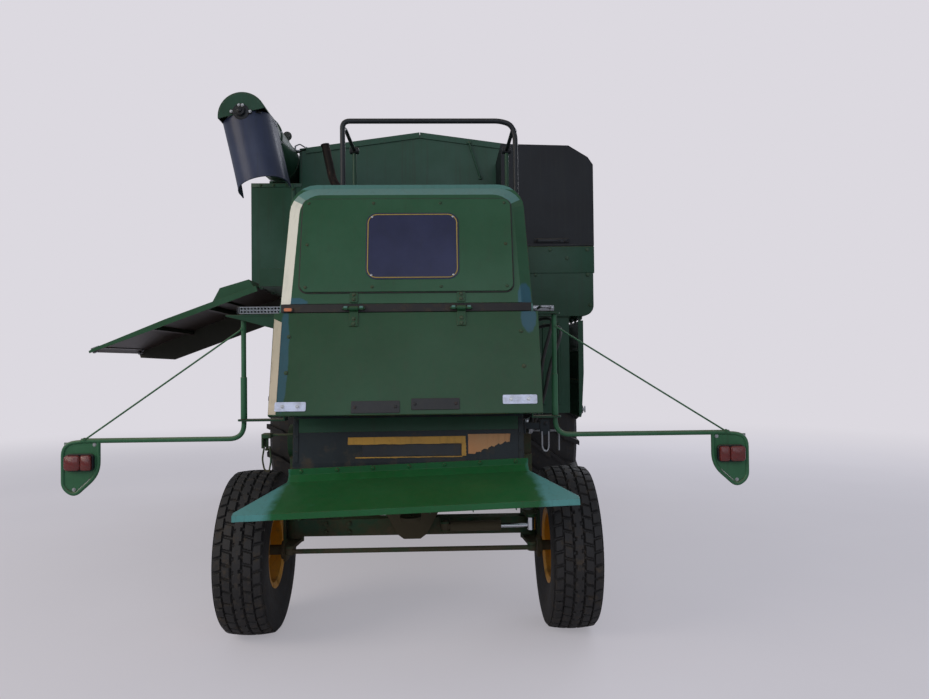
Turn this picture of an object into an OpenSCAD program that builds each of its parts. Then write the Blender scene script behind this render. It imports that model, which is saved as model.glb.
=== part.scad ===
// Combine harvester without its cutting header, standing on its wheels.
// X runs to the machine's right, Y forward and Z up, in millimetres.
// Sizes below are measured from the rear axle line (Y = 0) and the ground (Z = 0);
// every module is then shifted so that the origin lies under the middle of the whole machine.

/* [Wheels and axles] */
// Distance between the front and the rear axle
wheelbase = 3650; // [3600:10:3700]
// Distance between the middles of the front tyres
front_track = 2500; // [2480:10:2560]
// Distance between the middles of the rear tyres
rear_track = 1880; // [1860:10:1940]
// Outer diameter of a front tyre over its lugs
front_tyre_d = 1800; // [1760:10:1840]
// Width of a front tyre
front_tyre_w = 620; // [580:10:640]
// Diameter of the seat of a front rim
front_rim_d = 812; // [760:4:860]
// Height of the front lugs
front_lug_h = 45; // [25:5:60]
// Number of lugs on each side of a front tyre
front_lugs = 20; // [14:1:24]
// Outer diameter of a rear tyre over its tread
rear_tyre_d = 965; // [940:5:990]
// Width of a rear tyre
rear_tyre_w = 290; // [270:5:300]
// Diameter of the seat of a rear rim
rear_rim_d = 406; // [380:2:440]
// Height of the rear tread blocks
rear_lug_h = 18; // [10:2:28]
// Number of tread blocks on each side of a rear tyre
rear_lugs = 22; // [16:1:28]
// Height and depth of the rear axle beam
rear_beam = 100; // [80:5:120]
// Height and depth of the front axle beam
front_beam = 240; // [200:10:260]

/* [Steering] */
// Length of the tie rod arms behind the kingpins
tie_arm = 190; // [160:5:220]
// Length of the cylinder arm behind the right kingpin
ram_arm = 150; // [130:5:160]
// Radius of the kingpins
kingpin_r = 20; // [15:1:25]

/* [Threshing body] */
// Width of the threshing body between its side walls
body_w = 1300; // [1240:10:1340]
// Height of the body's sills above the ground
sill_z = 1040; // [1030:5:1060]
// Height of the deck that carries tank and engine
deck_z = 2335; // [2300:5:2360]
// Radius of the cleaning fan's housing under the body
fan_r = 240; // [200:10:250]
// Height of a frame rail
rail_h = 140; // [100:5:180]
// Width of a frame rail
rail_w = 80; // [60:5:90]

/* [Rear hood] */
// Width of the hood at the level of the flap's hinge
hood_w = 1400; // [1390:5:1440]
// Width of the hood just under its roof
hood_top_w = 1350; // [1330:5:1380]
// Height of the hood's roof
hood_top_z = 2650; // [2600:5:2700]
// Radius of the hood's upper corners
hood_corner_r = 150; // [80:5:200]
// Width of the hood's rear flap
flap_w = 1450; // [1446:2:1470]
// Thickness of the flap's sheet
flap_t = 8; // [4:1:10]
// Width of the raised cover on the upper panel
cover_w = 1180; // [1000:10:1240]
// Height of the raised cover
cover_h = 560; // [480:10:600]
// Thickness of the raised cover
cover_t = 12; // [6:1:16]

/* [Straw chopper] */
// Height of the chopper housing
chopper_h = 335; // [325:5:345]
// Radius over the chopper's knives
knife_r = 122; // [110:1:128]
// Number of knives in a row
knives = 10; // [6:1:12]
// Width of the tailboard at its lip
tailboard_w = 1780; // [1600:10:1800]
// Fall of the tailboard towards its bent left end, in degrees
tailboard_dip = 1.9; // [0:0.1:3]
// Thickness of the tailboard's sheet
tailboard_t = 6; // [4:1:8]

/* [Grain tank] */
// Width of the grain tank
tank_w = 3140; // [3080:10:3180]
// Distance of the tank's rear wall behind the front axle
tank_back = 1350; // [1330:10:1360]
// Length of the grain tank
tank_l = 1700; // [1600:10:1720]
// Height of the tank's shoulders
tank_top_z = 3300; // [3250:5:3340]
// Width of the raised neck under the lids
neck_w = 2200; // [2160:10:2220]
// Height of the neck's eaves
eaves_z = 3600; // [3560:5:3620]
// Rise of the lids from the eaves to the ridge
ridge_rise = 150; // [100:5:180]
// Thickness of the tank's walls
tank_t = 40; // [20:2:50]
// Number of pressed ribs on each side of the tank
tank_ribs = 4; // [2:1:6]

/* [Unloading auger] */
// Radius of the auger tube
auger_r = 185; // [170:5:190]
// Distance of the auger's axis from the side of the tank's neck
auger_side = 225; // [220:1:240]
// Distance of the auger's outer end behind the tank
auger_reach = 1200; // [1000:10:1240]
// Length of the spout below the tube's axis
spout_drop = 590; // [500:10:640]
// Sideways lean of the spout, in degrees
spout_lean = 13; // [0:1:16]

/* [Side doors] */
// Length of the left side door from hinge to lower edge
left_door_h = 1373; // [1300:5:1380]
// Length of the left side door along the machine
left_door_l = 920; // [880:10:940]
// Height of the left door's hinge
left_hinge_z = 2210; // [2200:5:2220]
// Distance of the left door's hinge from the middle of the machine
left_hinge_x = 1200; // [1180:5:1220]
// How far the left door stands open, in degrees
left_door_open = 70; // [60:1:75]
// Length of the right side door from hinge to lower edge
right_door_h = 850; // [780:5:860]
// Length of the right side door along the machine
right_door_l = 960; // [900:10:980]
// Distance of the right door's hinge from the middle of the machine
right_hinge_x = 1385; // [1370:5:1400]

/* [Lamp arms] */
// Distance of the left arm's upright tube from the middle of the machine
left_arm_x = 940; // [920:5:960]
// Distance of the right arm's upright tube from the middle of the machine
right_arm_x = 840; // [825:5:860]
// Reach of an arm's tip from the middle of the machine
arm_reach = 1960; // [1900:10:1980]
// Radius of the arms' tubes
arm_r = 14; // [12:1:16]

/* [Engine deck] */
// Length of the deck between the hood and the tank
deck_l = 1300; // [1290:10:1340]
// Width of the engine block
engine_w = 840; // [800:10:860]
// Length of the engine block
engine_l = 950; // [900:10:960]
// Height of the engine block
engine_h = 565; // [500:5:600]
// Radius of the cooling air screen
screen_r = 265; // [240:5:270]
// Distance of the cooling box's outer side from the middle of the machine
screen_side_x = 1500; // [1490:5:1520]
// Radius of the guard rail's tube
rail_tube_r = 17; // [14:1:20]
// Number of bars across the rotary screen
screen_bars = 6; // [4:1:10]

/* [Cab and feeder] */
// Width of the cab
cab_w = 1650; // [1600:10:1680]
// Length of the cab
cab_l = 1500; // [1460:10:1520]
// Height of the cab's floor above the ground
cab_floor_z = 1950; // [1930:5:1960]
// Height of the cab from floor to roof
cab_h = 1550; // [1500:10:1580]
// Width of the feeder housing
feeder_w = 1100; // [1060:10:1120]
// Height of the feeder housing
feeder_h = 660; // [600:10:670]
// Length of the feeder housing
feeder_l = 1850; // [1800:10:1880]
// Slope of the feeder housing as it rests, in degrees
feeder_slope = 19; // [17:0.5:20]
// Height of a driver's mirror
mirror_h = 320; // [240:10:360]

/* [Hidden] */
$fn = 48;

// Clearances: round a pin, between a moving flat and its seat, and between bodies
pin_gap = 0.3;
seat_gap = 0.3;
free_gap = 6;

// Rear axle
rear_r = rear_tyre_d / 2;
beam_z = rear_r + 138;
kp_x = rear_track / 2 - 230;
boss_r = 48;
boss_h = 130;
fork_t = 20;
fork_gap = 2;
fork_low = beam_z - boss_h / 2 - fork_gap;
fork_high = beam_z + boss_h / 2 + fork_gap;
spindle_r = 30;
joint_pin_r = 12;
ram_foot_x = 200;
ram_z = beam_z + 20;

// Front axle
front_r = front_tyre_d / 2;
hub_r = 110;

// Bars of a tread lug: start and end along the tread, start and end across it, width, foot's depth
front_bars = [
    [-0.17 * front_tyre_w, 0.07 * front_tyre_w, -0.03 * front_tyre_w, 0.26 * front_tyre_w, 44, 22],
    [0.06 * front_tyre_w, 0.17 * front_tyre_w, 0.24 * front_tyre_w, 0.485 * front_tyre_w, 44, 120]
];
rear_bars = [[0, 26, 0.06 * rear_tyre_w, 0.468 * rear_tyre_w, 58, 55]];

// Frame and threshing body
rail_in = body_w / 2;
rail_out = rail_in + rail_w;
rail_rear_y = -40;
upright_y = wheelbase + 350;
upright_l = 100;
cab_beam_h = 100;

// Cleaning fan, and the two auger troughs behind it: columns are Y, Z, radius
fan = [wheelbase - 760, 900];
troughs = [[wheelbase - 1240, 905, 110], [wheelbase - 1950, 940, 100]];

// Left-side drives: columns are Y, Z, radius and distance from the body of each pulley
pulleys = [
    [wheelbase - 1750, 1780, 290, 30], [wheelbase - 2320, 1420, 150, 30], [wheelbase - 1230, 1500, 120, 30],
    [wheelbase - 2320, 1420, 100, 90], [wheelbase - 1550, 1350, 130, 90]
];

// Rear hood: the flap and the upper panel each lean on a line from foot to head
hood_front_y = wheelbase - tank_back - deck_l;
flap_foot = [-640, sill_z + 300];
flap_head = [-480, hood_top_z - 760];
panel_foot = [-480, hood_top_z - 710];
panel_head = [-300, hood_top_z];
panel_d = 45;
hood_bottom_z = flap_foot[1] + 20;
hood_wall = (hood_w - body_w) / 2;
flap_angle = atan2(flap_head[0] - flap_foot[0], flap_head[1] - flap_foot[1]);
panel_angle = atan2(panel_head[0] - panel_foot[0], panel_head[1] - panel_foot[1]);
flap_len = norm(flap_head - flap_foot);
panel_len = norm(panel_head - panel_foot);
flap_hinge = [flap_head[0] - 12, flap_head[1] + 22];
flap_pin_r = 7;
hinge_table = [[-290, 110], [300, 110]]; // columns: middle in X, length

// Chopper and tailboard
chopper_z0 = sill_z - 30;
chopper_rear_y = -388;
rotor_y = -150;
rotor_z = chopper_z0 + 150;
drum_r = 60;
knife_rows = 4;

// Tank
lid_hinge_x = neck_w / 2 + 18;
lid_hinge_z = eaves_z + 6;
lid_t = 10;
lid_angle = atan2(ridge_rise, neck_w / 2);
tank_rear_y = wheelbase - tank_back;
tank_front_y = tank_rear_y + tank_l;
lid_ears = [tank_rear_y + 60, tank_rear_y + tank_l / 2 - 20, tank_front_y - 100];

// Auger
auger_x = neck_w / 2 + auger_side;
auger_z = tank_top_z + auger_r + 35;
auger_end_y = tank_rear_y - auger_reach;
auger_pivot_y = tank_front_y - 300;
turret_r = 120;

// Side doors
left_door_y = hood_front_y + 100;
right_door_y = tank_rear_y - 600;
right_hinge_z = deck_z - 350;
door_pin_r = 8;
door_t = 30;

// Lamp arms
arm_y = -300;
arm_high_z = 1885;
arm_low_z = 1310;
arm_out_z = 1190;
loop_r = 8;

// Engine deck
engine_y = hood_front_y + 200;
screen_y = tank_rear_y - 305;
screen_z = 2990;
screen_w = 710;

// Cab
cab_y = upright_y + 120;
cab_t = 50;
cab_door_y = cab_y + 530;
cab_door_l = 750;
cab_door_ears = [cab_floor_z + 200, cab_floor_z + cab_h - 260];
sash = 70;

// Feeder
feeder_pivot = [upright_y + 260, 1450];
feeder_pin_r = 30;
header_pin_r = 20;
lift_x = 450;
lift_rod_r = 28;
lift_foot = [wheelbase + 250, 700];
lift_arm = [1150, 60]; // along the feeder from its pivot, below its floor
lift_head = feeder_pivot
    + lift_arm[0] * [cos(feeder_slope), -sin(feeder_slope)]
    - (feeder_h / 2 + lift_arm[1]) * [sin(feeder_slope), cos(feeder_slope)];
lift_len = norm(lift_head - lift_foot);
lift_angle = atan2(lift_head[1] - lift_foot[1], lift_head[0] - lift_foot[0]);

// The whole machine's reach, which places the origin under its middle
reach_left = left_hinge_x + left_door_h * sin(left_door_open) - 14 * cos(left_door_open);
reach_right = arm_reach + loop_r + 1;
reach_rear = 364 - chopper_rear_y;
reach_front = feeder_pivot[0] + (feeder_l + 40) * cos(feeder_slope)
    + (feeder_h / 2 + 50) * sin(feeder_slope);
shift = [(reach_left - reach_right) / 2, (reach_rear - reach_front) / 2, 0];

// Colours
green = "#2f7040";
dark_green = "#1f4d2d";
bright_green = "#1e8a3c";
grey_blue = "#4a5a60";
black = "#22262a";
rim_yellow = "#e0a020";
steel = "#9a9ea0";
rubber = "#1d1d1e";

function unit(v) = v / norm(v);

// Puts a piece, drawn from the rear axle line, in its place over the origin
module place() translate(shift) children();

// Mirrors a piece drawn on the right, for side = -1
module on_side(side) mirror([side < 0 ? 1 : 0, 0, 0]) children();

// A profile in Y and Z carried along X from x0 over length l
module along_x(x0, l) translate([x0, 0, 0]) rotate([90, 0, 90]) linear_extrude(l) children();

// A profile in X and Z carried along Y from y0 over length l
module along_y(y0, l) translate([0, y0 + l, 0]) rotate([90, 0, 0]) linear_extrude(l) children();

// A box between two opposite corners
module box(a, b) translate(a) cube(b - a);

// A round bar between two points
module bar(a, b, r) {
    d = b - a;
    l = norm(d);
    translate(a) rotate([0, acos(d[2] / l), atan2(d[1], d[0])]) cylinder(h = l, r = r);
}

// A quarter-like bend of a tube at corner b, between the directions a-b and b-c
module tube_corner(a, b, c, r, bend) {
    u = unit(b - a);
    v = unit(c - b);
    turn = acos(u * v);
    w = unit(v - u * (u * v));
    o = b - u * bend * tan(turn / 2) + w * bend;
    n = cross(-w, u);
    multmatrix([
        [-w[0], u[0], n[0], o[0]],
        [-w[1], u[1], n[1], o[1]],
        [-w[2], u[2], n[2], o[2]],
        [0, 0, 0, 1]
    ]) rotate_extrude(angle = turn) translate([bend, 0]) circle(r = r);
}

// How much of each straight a bend at point i of the route takes away
function bend_cut(p, i, bend) = (i == 0 || i == len(p) - 1) ? 0 :
    bend * tan(acos(unit(p[i] - p[i - 1]) * unit(p[i + 1] - p[i])) / 2);

// A bent tube along a route of corner points
module tube(p, r, bend) {
    for (i = [0 : len(p) - 2]) {
        u = unit(p[i + 1] - p[i]);
        bar(p[i] + u * bend_cut(p, i, bend), p[i + 1] - u * bend_cut(p, i + 1, bend), r);
    }
    if (len(p) > 2) for (i = [1 : len(p) - 2]) tube_corner(p[i - 1], p[i], p[i + 1], r, bend);
}

// A rectangle with round corners, its lower edge on the X axis
module round_panel(w, h, r) {
    translate([-w / 2 + r, 0]) square([w - 2 * r, h]);
    translate([-w / 2, r]) square([w, h - 2 * r]);
    for (x = [-1, 1], y = [r, h - r]) translate([x * (w / 2 - r), y]) circle(r = r);
}

// Carries a flat piece, drawn in X and Y and raised in Z, onto a leaning panel:
// Y climbs the panel from its foot and Z points out to the rear
module on_panel(foot, angle) translate([0, foot[0], foot[1]]) rotate([90 - angle, 0, 0]) children();

// Frame: two side rails, a rear bolster over the axle pivot, cab supports and a drawbar eye
module main_frame() color(dark_green) place() {
    difference() {
        union() {
            for (s = [-1, 1]) on_side(s) {
                box([rail_in, rail_rear_y, sill_z], [rail_out, upright_y + upright_l, sill_z + rail_h]);
                box([rail_in, -70, sill_z - 140], [rail_out, 70, sill_z + 10]);
                box([rail_in, upright_y + 55, sill_z], [rail_out, upright_y + upright_l + 55, cab_floor_z]);
                box([rail_in, upright_y + 55, cab_floor_z - cab_beam_h],
                    [rail_out, cab_y + cab_l - 60, cab_floor_z]);
                box([rail_in - 50, upright_y + 55, feeder_pivot[1] - 90],
                    [rail_in, feeder_pivot[0] + 60, feeder_pivot[1] + 90]);
                box([rail_in, wheelbase - front_beam / 2, front_r + front_beam / 2],
                    [rail_out, wheelbase + front_beam / 2, sill_z]);
            }
            box([-rail_out, -70, sill_z - 140], [rail_out, 70, chopper_z0 - seat_gap]);
            for (y = [-1, 1]) pivot_plate(y);
            bar([0, -rear_beam / 2 - 22, beam_z], [0, rear_beam / 2 + 22, beam_z], 30);
            for (z = [0, 80]) drawbar_plate(beam_z + 90 + z);
            box([-60, -rear_beam / 2 - 40, beam_z + 90], [60, -rear_beam / 2 - 22, beam_z + 190]);
        }
        translate([0, -290, beam_z]) cylinder(h = 400, r = 16);
        for (s = [-1, 1]) on_side(s) translate([rail_in - 60, feeder_pivot[0], feeder_pivot[1]])
            rotate([0, 90, 0]) cylinder(h = 70, r = feeder_pin_r + pin_gap);
    }
}

// One of the two plates that hold the rear axle's pivot pin
module pivot_plate(side) {
    y0 = side > 0 ? rear_beam / 2 + 2 : -rear_beam / 2 - 22;
    along_y(y0, 20) polygon([
        [-260, sill_z - 140], [-90, beam_z - 40], [-50, beam_z - 70],
        [50, beam_z - 70], [90, beam_z - 40], [260, sill_z - 140]
    ]);
}

// A drawbar plate with a round nose behind the pivot
module drawbar_plate(z) translate([0, 0, z]) linear_extrude(20) {
    translate([-60, -290]) square([120, 290 - rear_beam / 2 - 22]);
    translate([0, -290]) circle(r = 60);
}

// Rear axle: a box beam with a kingpin boss at each end and a bracket for the steering ram
module rear_axle() color(green) place() {
    difference() {
        union() {
            box([-kp_x, -rear_beam / 2, beam_z - rear_beam / 2],
                [kp_x, rear_beam / 2, beam_z + rear_beam / 2]);
            for (s = [-1, 1]) translate([s * kp_x, 0, beam_z - boss_h / 2]) cylinder(h = boss_h, r = boss_r);
            for (z = [-30, 18]) translate([0, 0, beam_z + 20 + z]) linear_extrude(12) {
                translate([ram_foot_x, -ram_arm]) circle(r = 28);
                translate([ram_foot_x - 28, -ram_arm]) square([56, ram_arm - rear_beam / 2]);
            }
        }
        for (s = [-1, 1]) translate([s * kp_x, 0, 0]) cylinder(h = 1000, r = kingpin_r + pin_gap);
        bar([0, -rear_beam, beam_z], [0, rear_beam, beam_z], 30 + pin_gap);
        translate([ram_foot_x, -ram_arm, beam_z - 60]) cylinder(h = 160, r = joint_pin_r + pin_gap);
    }
}

// Steering knuckle: fork round the beam's boss, kingpin, wheel spindle and steering arms
module knuckle(side) on_side(side) {
    difference() {
        union() {
            for (z = [fork_low - fork_t, fork_high]) translate([kp_x, 0, z]) linear_extrude(fork_t) {
                circle(r = boss_r);
                translate([0, -boss_r]) square([boss_r + 20, 2 * boss_r]);
            }
            box([kp_x + boss_r + 2, -boss_r, rear_r - 60], [kp_x + boss_r + 20, boss_r, fork_high + fork_t]);
            translate([kp_x, 0, fork_low - fork_t])
                cylinder(h = fork_high - fork_low + 2 * fork_t, r = kingpin_r);
            bar([kp_x + boss_r + 10, 0, rear_r], [rear_track / 2 + 60, 0, rear_r], spindle_r);
            bar([kp_x + boss_r + 18, 0, rear_r], [kp_x + boss_r + 34, 0, rear_r], spindle_r + 25);
            steering_arm(tie_arm, fork_low - fork_t);
            if (side > 0) steering_arm(ram_arm, fork_high);
        }
        translate([kp_x, -tie_arm, fork_low - fork_t - 10]) cylinder(h = 60, r = joint_pin_r + pin_gap);
    }
}

// A flat arm with a round eye behind the kingpin
module steering_arm(reach, z) translate([kp_x, 0, z]) linear_extrude(fork_t) {
    polygon([[-boss_r + 8, -30], [boss_r - 8, -30], [26, -reach], [-26, -reach]]);
    translate([0, -reach]) circle(r = 28);
}

module knuckle_left() color(green) place() knuckle(-1);
module knuckle_right() color(green) place() knuckle(1);

// Tie rod with an upright pin in each steering arm
module tie_rod() color(steel) place() {
    z = fork_low - fork_t - 16;
    bar([-kp_x, -tie_arm, z], [kp_x, -tie_arm, z], 14);
    for (s = [-1, 1]) {
        translate([s * kp_x, -tie_arm, z - 16]) cylinder(h = 30, r = 26);
        translate([s * kp_x, -tie_arm, z]) cylinder(h = 16 + fork_t, r = joint_pin_r);
    }
}

// Steering ram: barrel pinned to the axle beam
module steer_barrel() color(dark_green) place() translate([0, -ram_arm, ram_z]) difference() {
    union() {
        cylinder_x(ram_foot_x + 30, 300, 30);
        box([ram_foot_x, -20, -14], [ram_foot_x + 40, 20, 14]);
        translate([ram_foot_x, 0, -18 + 0.3]) cylinder(h = 36 - 0.6, r = 26);
        translate([ram_foot_x, 0, -36]) cylinder(h = 72, r = joint_pin_r);
    }
    cylinder_x(ram_foot_x + 70, 300, 14 + pin_gap);
}

// A round bar along X from x0 over length l
module cylinder_x(x0, l, r) translate([x0, 0, 0]) rotate([0, 90, 0]) cylinder(h = l, r = r);

// Steering ram: chromed rod, its eye under the right knuckle's arm
module steer_rod() color(steel) place() translate([0, -ram_arm, ram_z]) {
    cylinder_x(ram_foot_x + 180, kp_x - ram_foot_x - 180, 14);
    translate([kp_x, 0, -26]) cylinder(h = fork_high - ram_z + 26 - seat_gap, r = 26);
}

// Rim turned about the Z axis: seat with two flanges, dished disc and a hub with a bore
module rim(seat_r, width, bore_r, nave_r, disc_z) {
    b = width / 2;
    rotate_extrude() polygon([
        [bore_r, disc_z - 70], [nave_r, disc_z - 70], [nave_r, disc_z - 12],
        [seat_r * 0.72, disc_z + 22], [seat_r - 14, disc_z + 34], [seat_r - 14, -b + 12],
        [seat_r + 8, -b], [seat_r + 22, -b], [seat_r + 22, -b + 10],
        [seat_r, -b + 18], [seat_r, b - 18], [seat_r + 22, b - 10], [seat_r + 22, b],
        [seat_r + 8, b], [seat_r - 14, b - 12], [seat_r - 14, disc_z + 48],
        [seat_r * 0.72, disc_z + 36], [nave_r, disc_z + 4], [nave_r - 12, disc_z + 30],
        [bore_r, disc_z + 30]
    ]);
}

// Turns a wheel piece, drawn about the Z axis, onto an axle along X; Z points outwards
module wheel_place(side, x, y, r) translate([side * x, y, r]) rotate([0, side * 90, 0]) children();

module rear_rim(side) wheel_place(side, rear_track / 2, 0, rear_r)
    rim(rear_rim_d / 2, rear_tyre_w * 0.8, spindle_r + pin_gap, 75, 10);
module rear_rim_left() color(rim_yellow) place() rear_rim(-1);
module rear_rim_right() color(rim_yellow) place() rear_rim(1);

module front_rim(side) wheel_place(side, front_track / 2, wheelbase, front_r)
    rim(front_rim_d / 2, front_tyre_w * 0.8, hub_r + pin_gap, 190, 40);
module front_rim_left() color(rim_yellow) place() front_rim(-1);
module front_rim_right() color(rim_yellow) place() front_rim(1);

// Tyre casing turned about the Z axis: bead, bulging wall, shoulder and crowned tread
module casing(seat_r, width, r) {
    h = r - seat_r;
    // columns: share of the casing's height, share of its half width
    wall = [[0.25, 0.93], [0.45, 1], [0.65, 1], [0.82, 0.95], [0.94, 0.84], [0.985, 0.6], [1, 0.3]];
    bead = width * 0.4 - 19;
    side = concat(
        [[seat_r + seat_gap, bead], [seat_r + 24, bead + 4], [seat_r + 34, bead + 18]],
        [for (p = wall) [seat_r + h * p[0], p[1] * width / 2]]
    );
    n = len(side);
    rotate_extrude() polygon(concat(side, [for (i = [n - 1 : -1 : 0]) [side[i][0], -side[i][1]]]));
}

// One straight bar of a lug, its ends square to the axle.
// Columns of a bar: start and end along the tread, start and end across it, width, foot's depth
module lug_bar(r, depth, bar) {
    mid = (bar[0] + bar[1]) / 2;
    half_span = abs(bar[1] - bar[0]) / 2 + bar[4] / 2;
    top = sqrt(r * r - half_span * half_span);
    rotate([0, 0, mid / r * 180 / PI]) translate([r - depth - bar[5], 0, 0]) rotate([90, 0, 90])
        linear_extrude(top - r + depth + bar[5]) polygon([
            [bar[0] - mid - bar[4] / 2, bar[2]], [bar[0] - mid + bar[4] / 2, bar[2]],
            [bar[1] - mid + bar[4] / 2, bar[3]], [bar[1] - mid - bar[4] / 2, bar[3]]
        ]);
}

// A tyre with lugs on both sides of its middle, staggered by half a pitch
module tyre(seat_r, width, r, lug_h, lugs, bars) {
    casing(seat_r, width, r - lug_h);
    for (half = [0, 1], i = [0 : lugs - 1])
        rotate([half * 180, 0, (i + half / 2) * 360 / lugs])
            for (b = bars) lug_bar(r, lug_h, b);
}

module front_tyre(side) wheel_place(side, front_track / 2, wheelbase, front_r)
    tyre(front_rim_d / 2, front_tyre_w, front_r, front_lug_h, front_lugs, front_bars);
module front_tyre_left() color(rubber) place() front_tyre(-1);
module front_tyre_right() color(rubber) place() front_tyre(1);

module rear_tyre(side) wheel_place(side, rear_track / 2, 0, rear_r)
    tyre(rear_rim_d / 2, rear_tyre_w, rear_r, rear_lug_h, rear_lugs, rear_bars);
module rear_tyre_left() color(rubber) place() rear_tyre(-1);
module rear_tyre_right() color(rubber) place() rear_tyre(1);

// Front axle: box beam, final drives, hub spigots and the foot lugs of the lift rams
module front_axle() color(dark_green) place() {
    inner_x = front_track / 2 - front_tyre_w / 2;
    difference() {
        union() {
            box([-inner_x + 60, wheelbase - front_beam / 2, front_r - front_beam / 2],
                [inner_x - 60, wheelbase + front_beam / 2, front_r + front_beam / 2]);
            for (s = [-1, 1]) on_side(s) translate([0, wheelbase, front_r]) {
                cylinder_x(inner_x - 180, 150, 210);
                cylinder_x(inner_x - 40, front_track / 2 - inner_x + 120, hub_r);
                cylinder_x(inner_x - 40, front_track / 2 - inner_x - 30, 150);
            }
            for (s = [-1, 1], side = [-1, 1]) lift_foot_lug(s * lift_x + side * 40);
        }
        for (s = [-1, 1]) translate([s * lift_x, lift_foot[0], lift_foot[1]])
            translate([-60, 0, 0]) cylinder_x(0, 120, 20 + pin_gap);
    }
}

// One ear for a lift ram's foot pin, welded to the front of the axle beam
module lift_foot_lug(x) along_x(x - 8, 16) {
    translate(lift_foot) circle(r = 42);
    polygon([
        [wheelbase + front_beam / 2, front_r + 60], [wheelbase + front_beam / 2, front_r - front_beam / 2],
        [lift_foot[0] - 30, lift_foot[1] - 30], [lift_foot[0] + 40, lift_foot[1] + 14]
    ]);
}

// Threshing and cleaning body: closed casing between the rails, with its fan housing and troughs below
module separator_body() color(green) place() {
    difference() {
        union() {
            along_x(-body_w / 2, body_w) polygon([
                [250, chopper_z0], [hood_front_y - 100, 960], [wheelbase - 750, 870], [wheelbase - 300, 870],
                [wheelbase - 170, sill_z + 5],
                [upright_y + 50, sill_z + 5], [upright_y + 50, 1750], [upright_y - 100, deck_z], [250, deck_z]
            ]);
            translate([0, fan[0], fan[1]]) cylinder_x(-body_w / 2 + 10, body_w - 20, fan_r);
            for (t = troughs) translate([0, t[0], t[1]]) cylinder_x(-body_w / 2 + 10, body_w - 20, t[2]);
        }
        for (s = [-1, 1]) on_side(s) translate([body_w / 2 - 70, fan[0], fan[1]]) cylinder_x(0, 100, fan_r - 90);
    }
    // the fan's shaft and the guards over its inlets
    translate([0, fan[0], fan[1]]) {
        cylinder_x(-body_w / 2 - 10, body_w + 20, 22);
        for (s = [-1, 1], a = [0 : 60 : 120]) on_side(s) translate([body_w / 2 - 24, 0, 0])
            rotate([a, 0, 0]) box([0, -5, -fan_r + 85], [10, 5, fan_r - 85]);
    }
    for (s = [-1, 1], y = [420 : 480 : wheelbase - 350]) if (y < hood_front_y || y > tank_rear_y + 150)
        on_side(s) box([body_w / 2, y, sill_z + rail_h + 30], [body_w / 2 + 22, y + 40, hood_bottom_z - 20]);
}

// Shoulders beside the body that carry the side doors and the cooling box
module side_bodies() color(green) place() {
    // left shoulder: a box beam with hinge ears for the side door
    difference() {
        union() {
            box([-left_hinge_x + 14 + free_gap, hood_front_y + 15, left_hinge_z - 10],
                [-body_w / 2, tank_rear_y - 10, deck_z]);
            for (y = door_ears(left_door_y, left_door_l))
                door_ear(-left_hinge_x, left_hinge_z, y, 14);
        }
        translate([-left_hinge_x, left_door_y, left_hinge_z]) rotate([-90, 0, 0])
            cylinder(h = left_door_l, r = door_pin_r + pin_gap);
    }
    // right shoulder: a closed box with a rounded lower corner
    difference() {
        union() {
            intersection() {
                box([body_w / 2, right_door_y - 10, deck_z - 335],
                    [screen_side_x - 10, tank_rear_y - 10, deck_z + 265]);
                along_y(right_door_y - 20, 700) shoulder_outline();
            }
            for (y = door_ears(right_door_y, tank_rear_y - right_door_y - 20))
                door_ear(right_hinge_x, right_hinge_z, y, 30);
        }
        translate([right_hinge_x, right_door_y, right_hinge_z]) rotate([-90, 0, 0])
            cylinder(h = right_door_l, r = door_pin_r + pin_gap);
    }
}

function door_ears(y, l) = [y + 60, y + l / 2 - 20, y + l - 100];

// A hinge ear: a round eye on a foot that rises to the shoulder above it, wider on its inner side
module door_ear(x, z, y, rise) {
    translate([x, y, z]) rotate([-90, 0, 0]) cylinder(h = 40, r = 18);
    box([x - (x < 0 ? 18 : 28), y, z], [x + (x < 0 ? 28 : 18), y + 40, z + rise + 6]);
}

module shoulder_outline() {
    r = 90;
    x1 = screen_side_x - 10;
    z0 = deck_z - 335;
    square_from([body_w / 2, z0], [x1 - r, deck_z + 265]);
    square_from([body_w / 2, z0 + r], [x1, deck_z + 265]);
    translate([x1 - r, z0 + r]) circle(r = r);
}

module square_from(a, b) translate(a) square(b - a);

// Cross-section of the hood with its round upper corners
module hood_section(inset) {
    w0 = hood_w / 2 - inset;
    w1 = hood_top_w / 2 - inset;
    r = hood_corner_r - inset;
    top = hood_top_z - inset;
    side = concat([[w0, 1000], [w0, panel_foot[1]]],
        [for (a = [0 : 15 : 90]) [w1 - r + r * cos(a), top - r + r * sin(a)]]);
    n = len(side);
    polygon(concat(side, [for (i = [n - 1 : -1 : 0]) [-side[i][0], side[i][1]]]));
}

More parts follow.
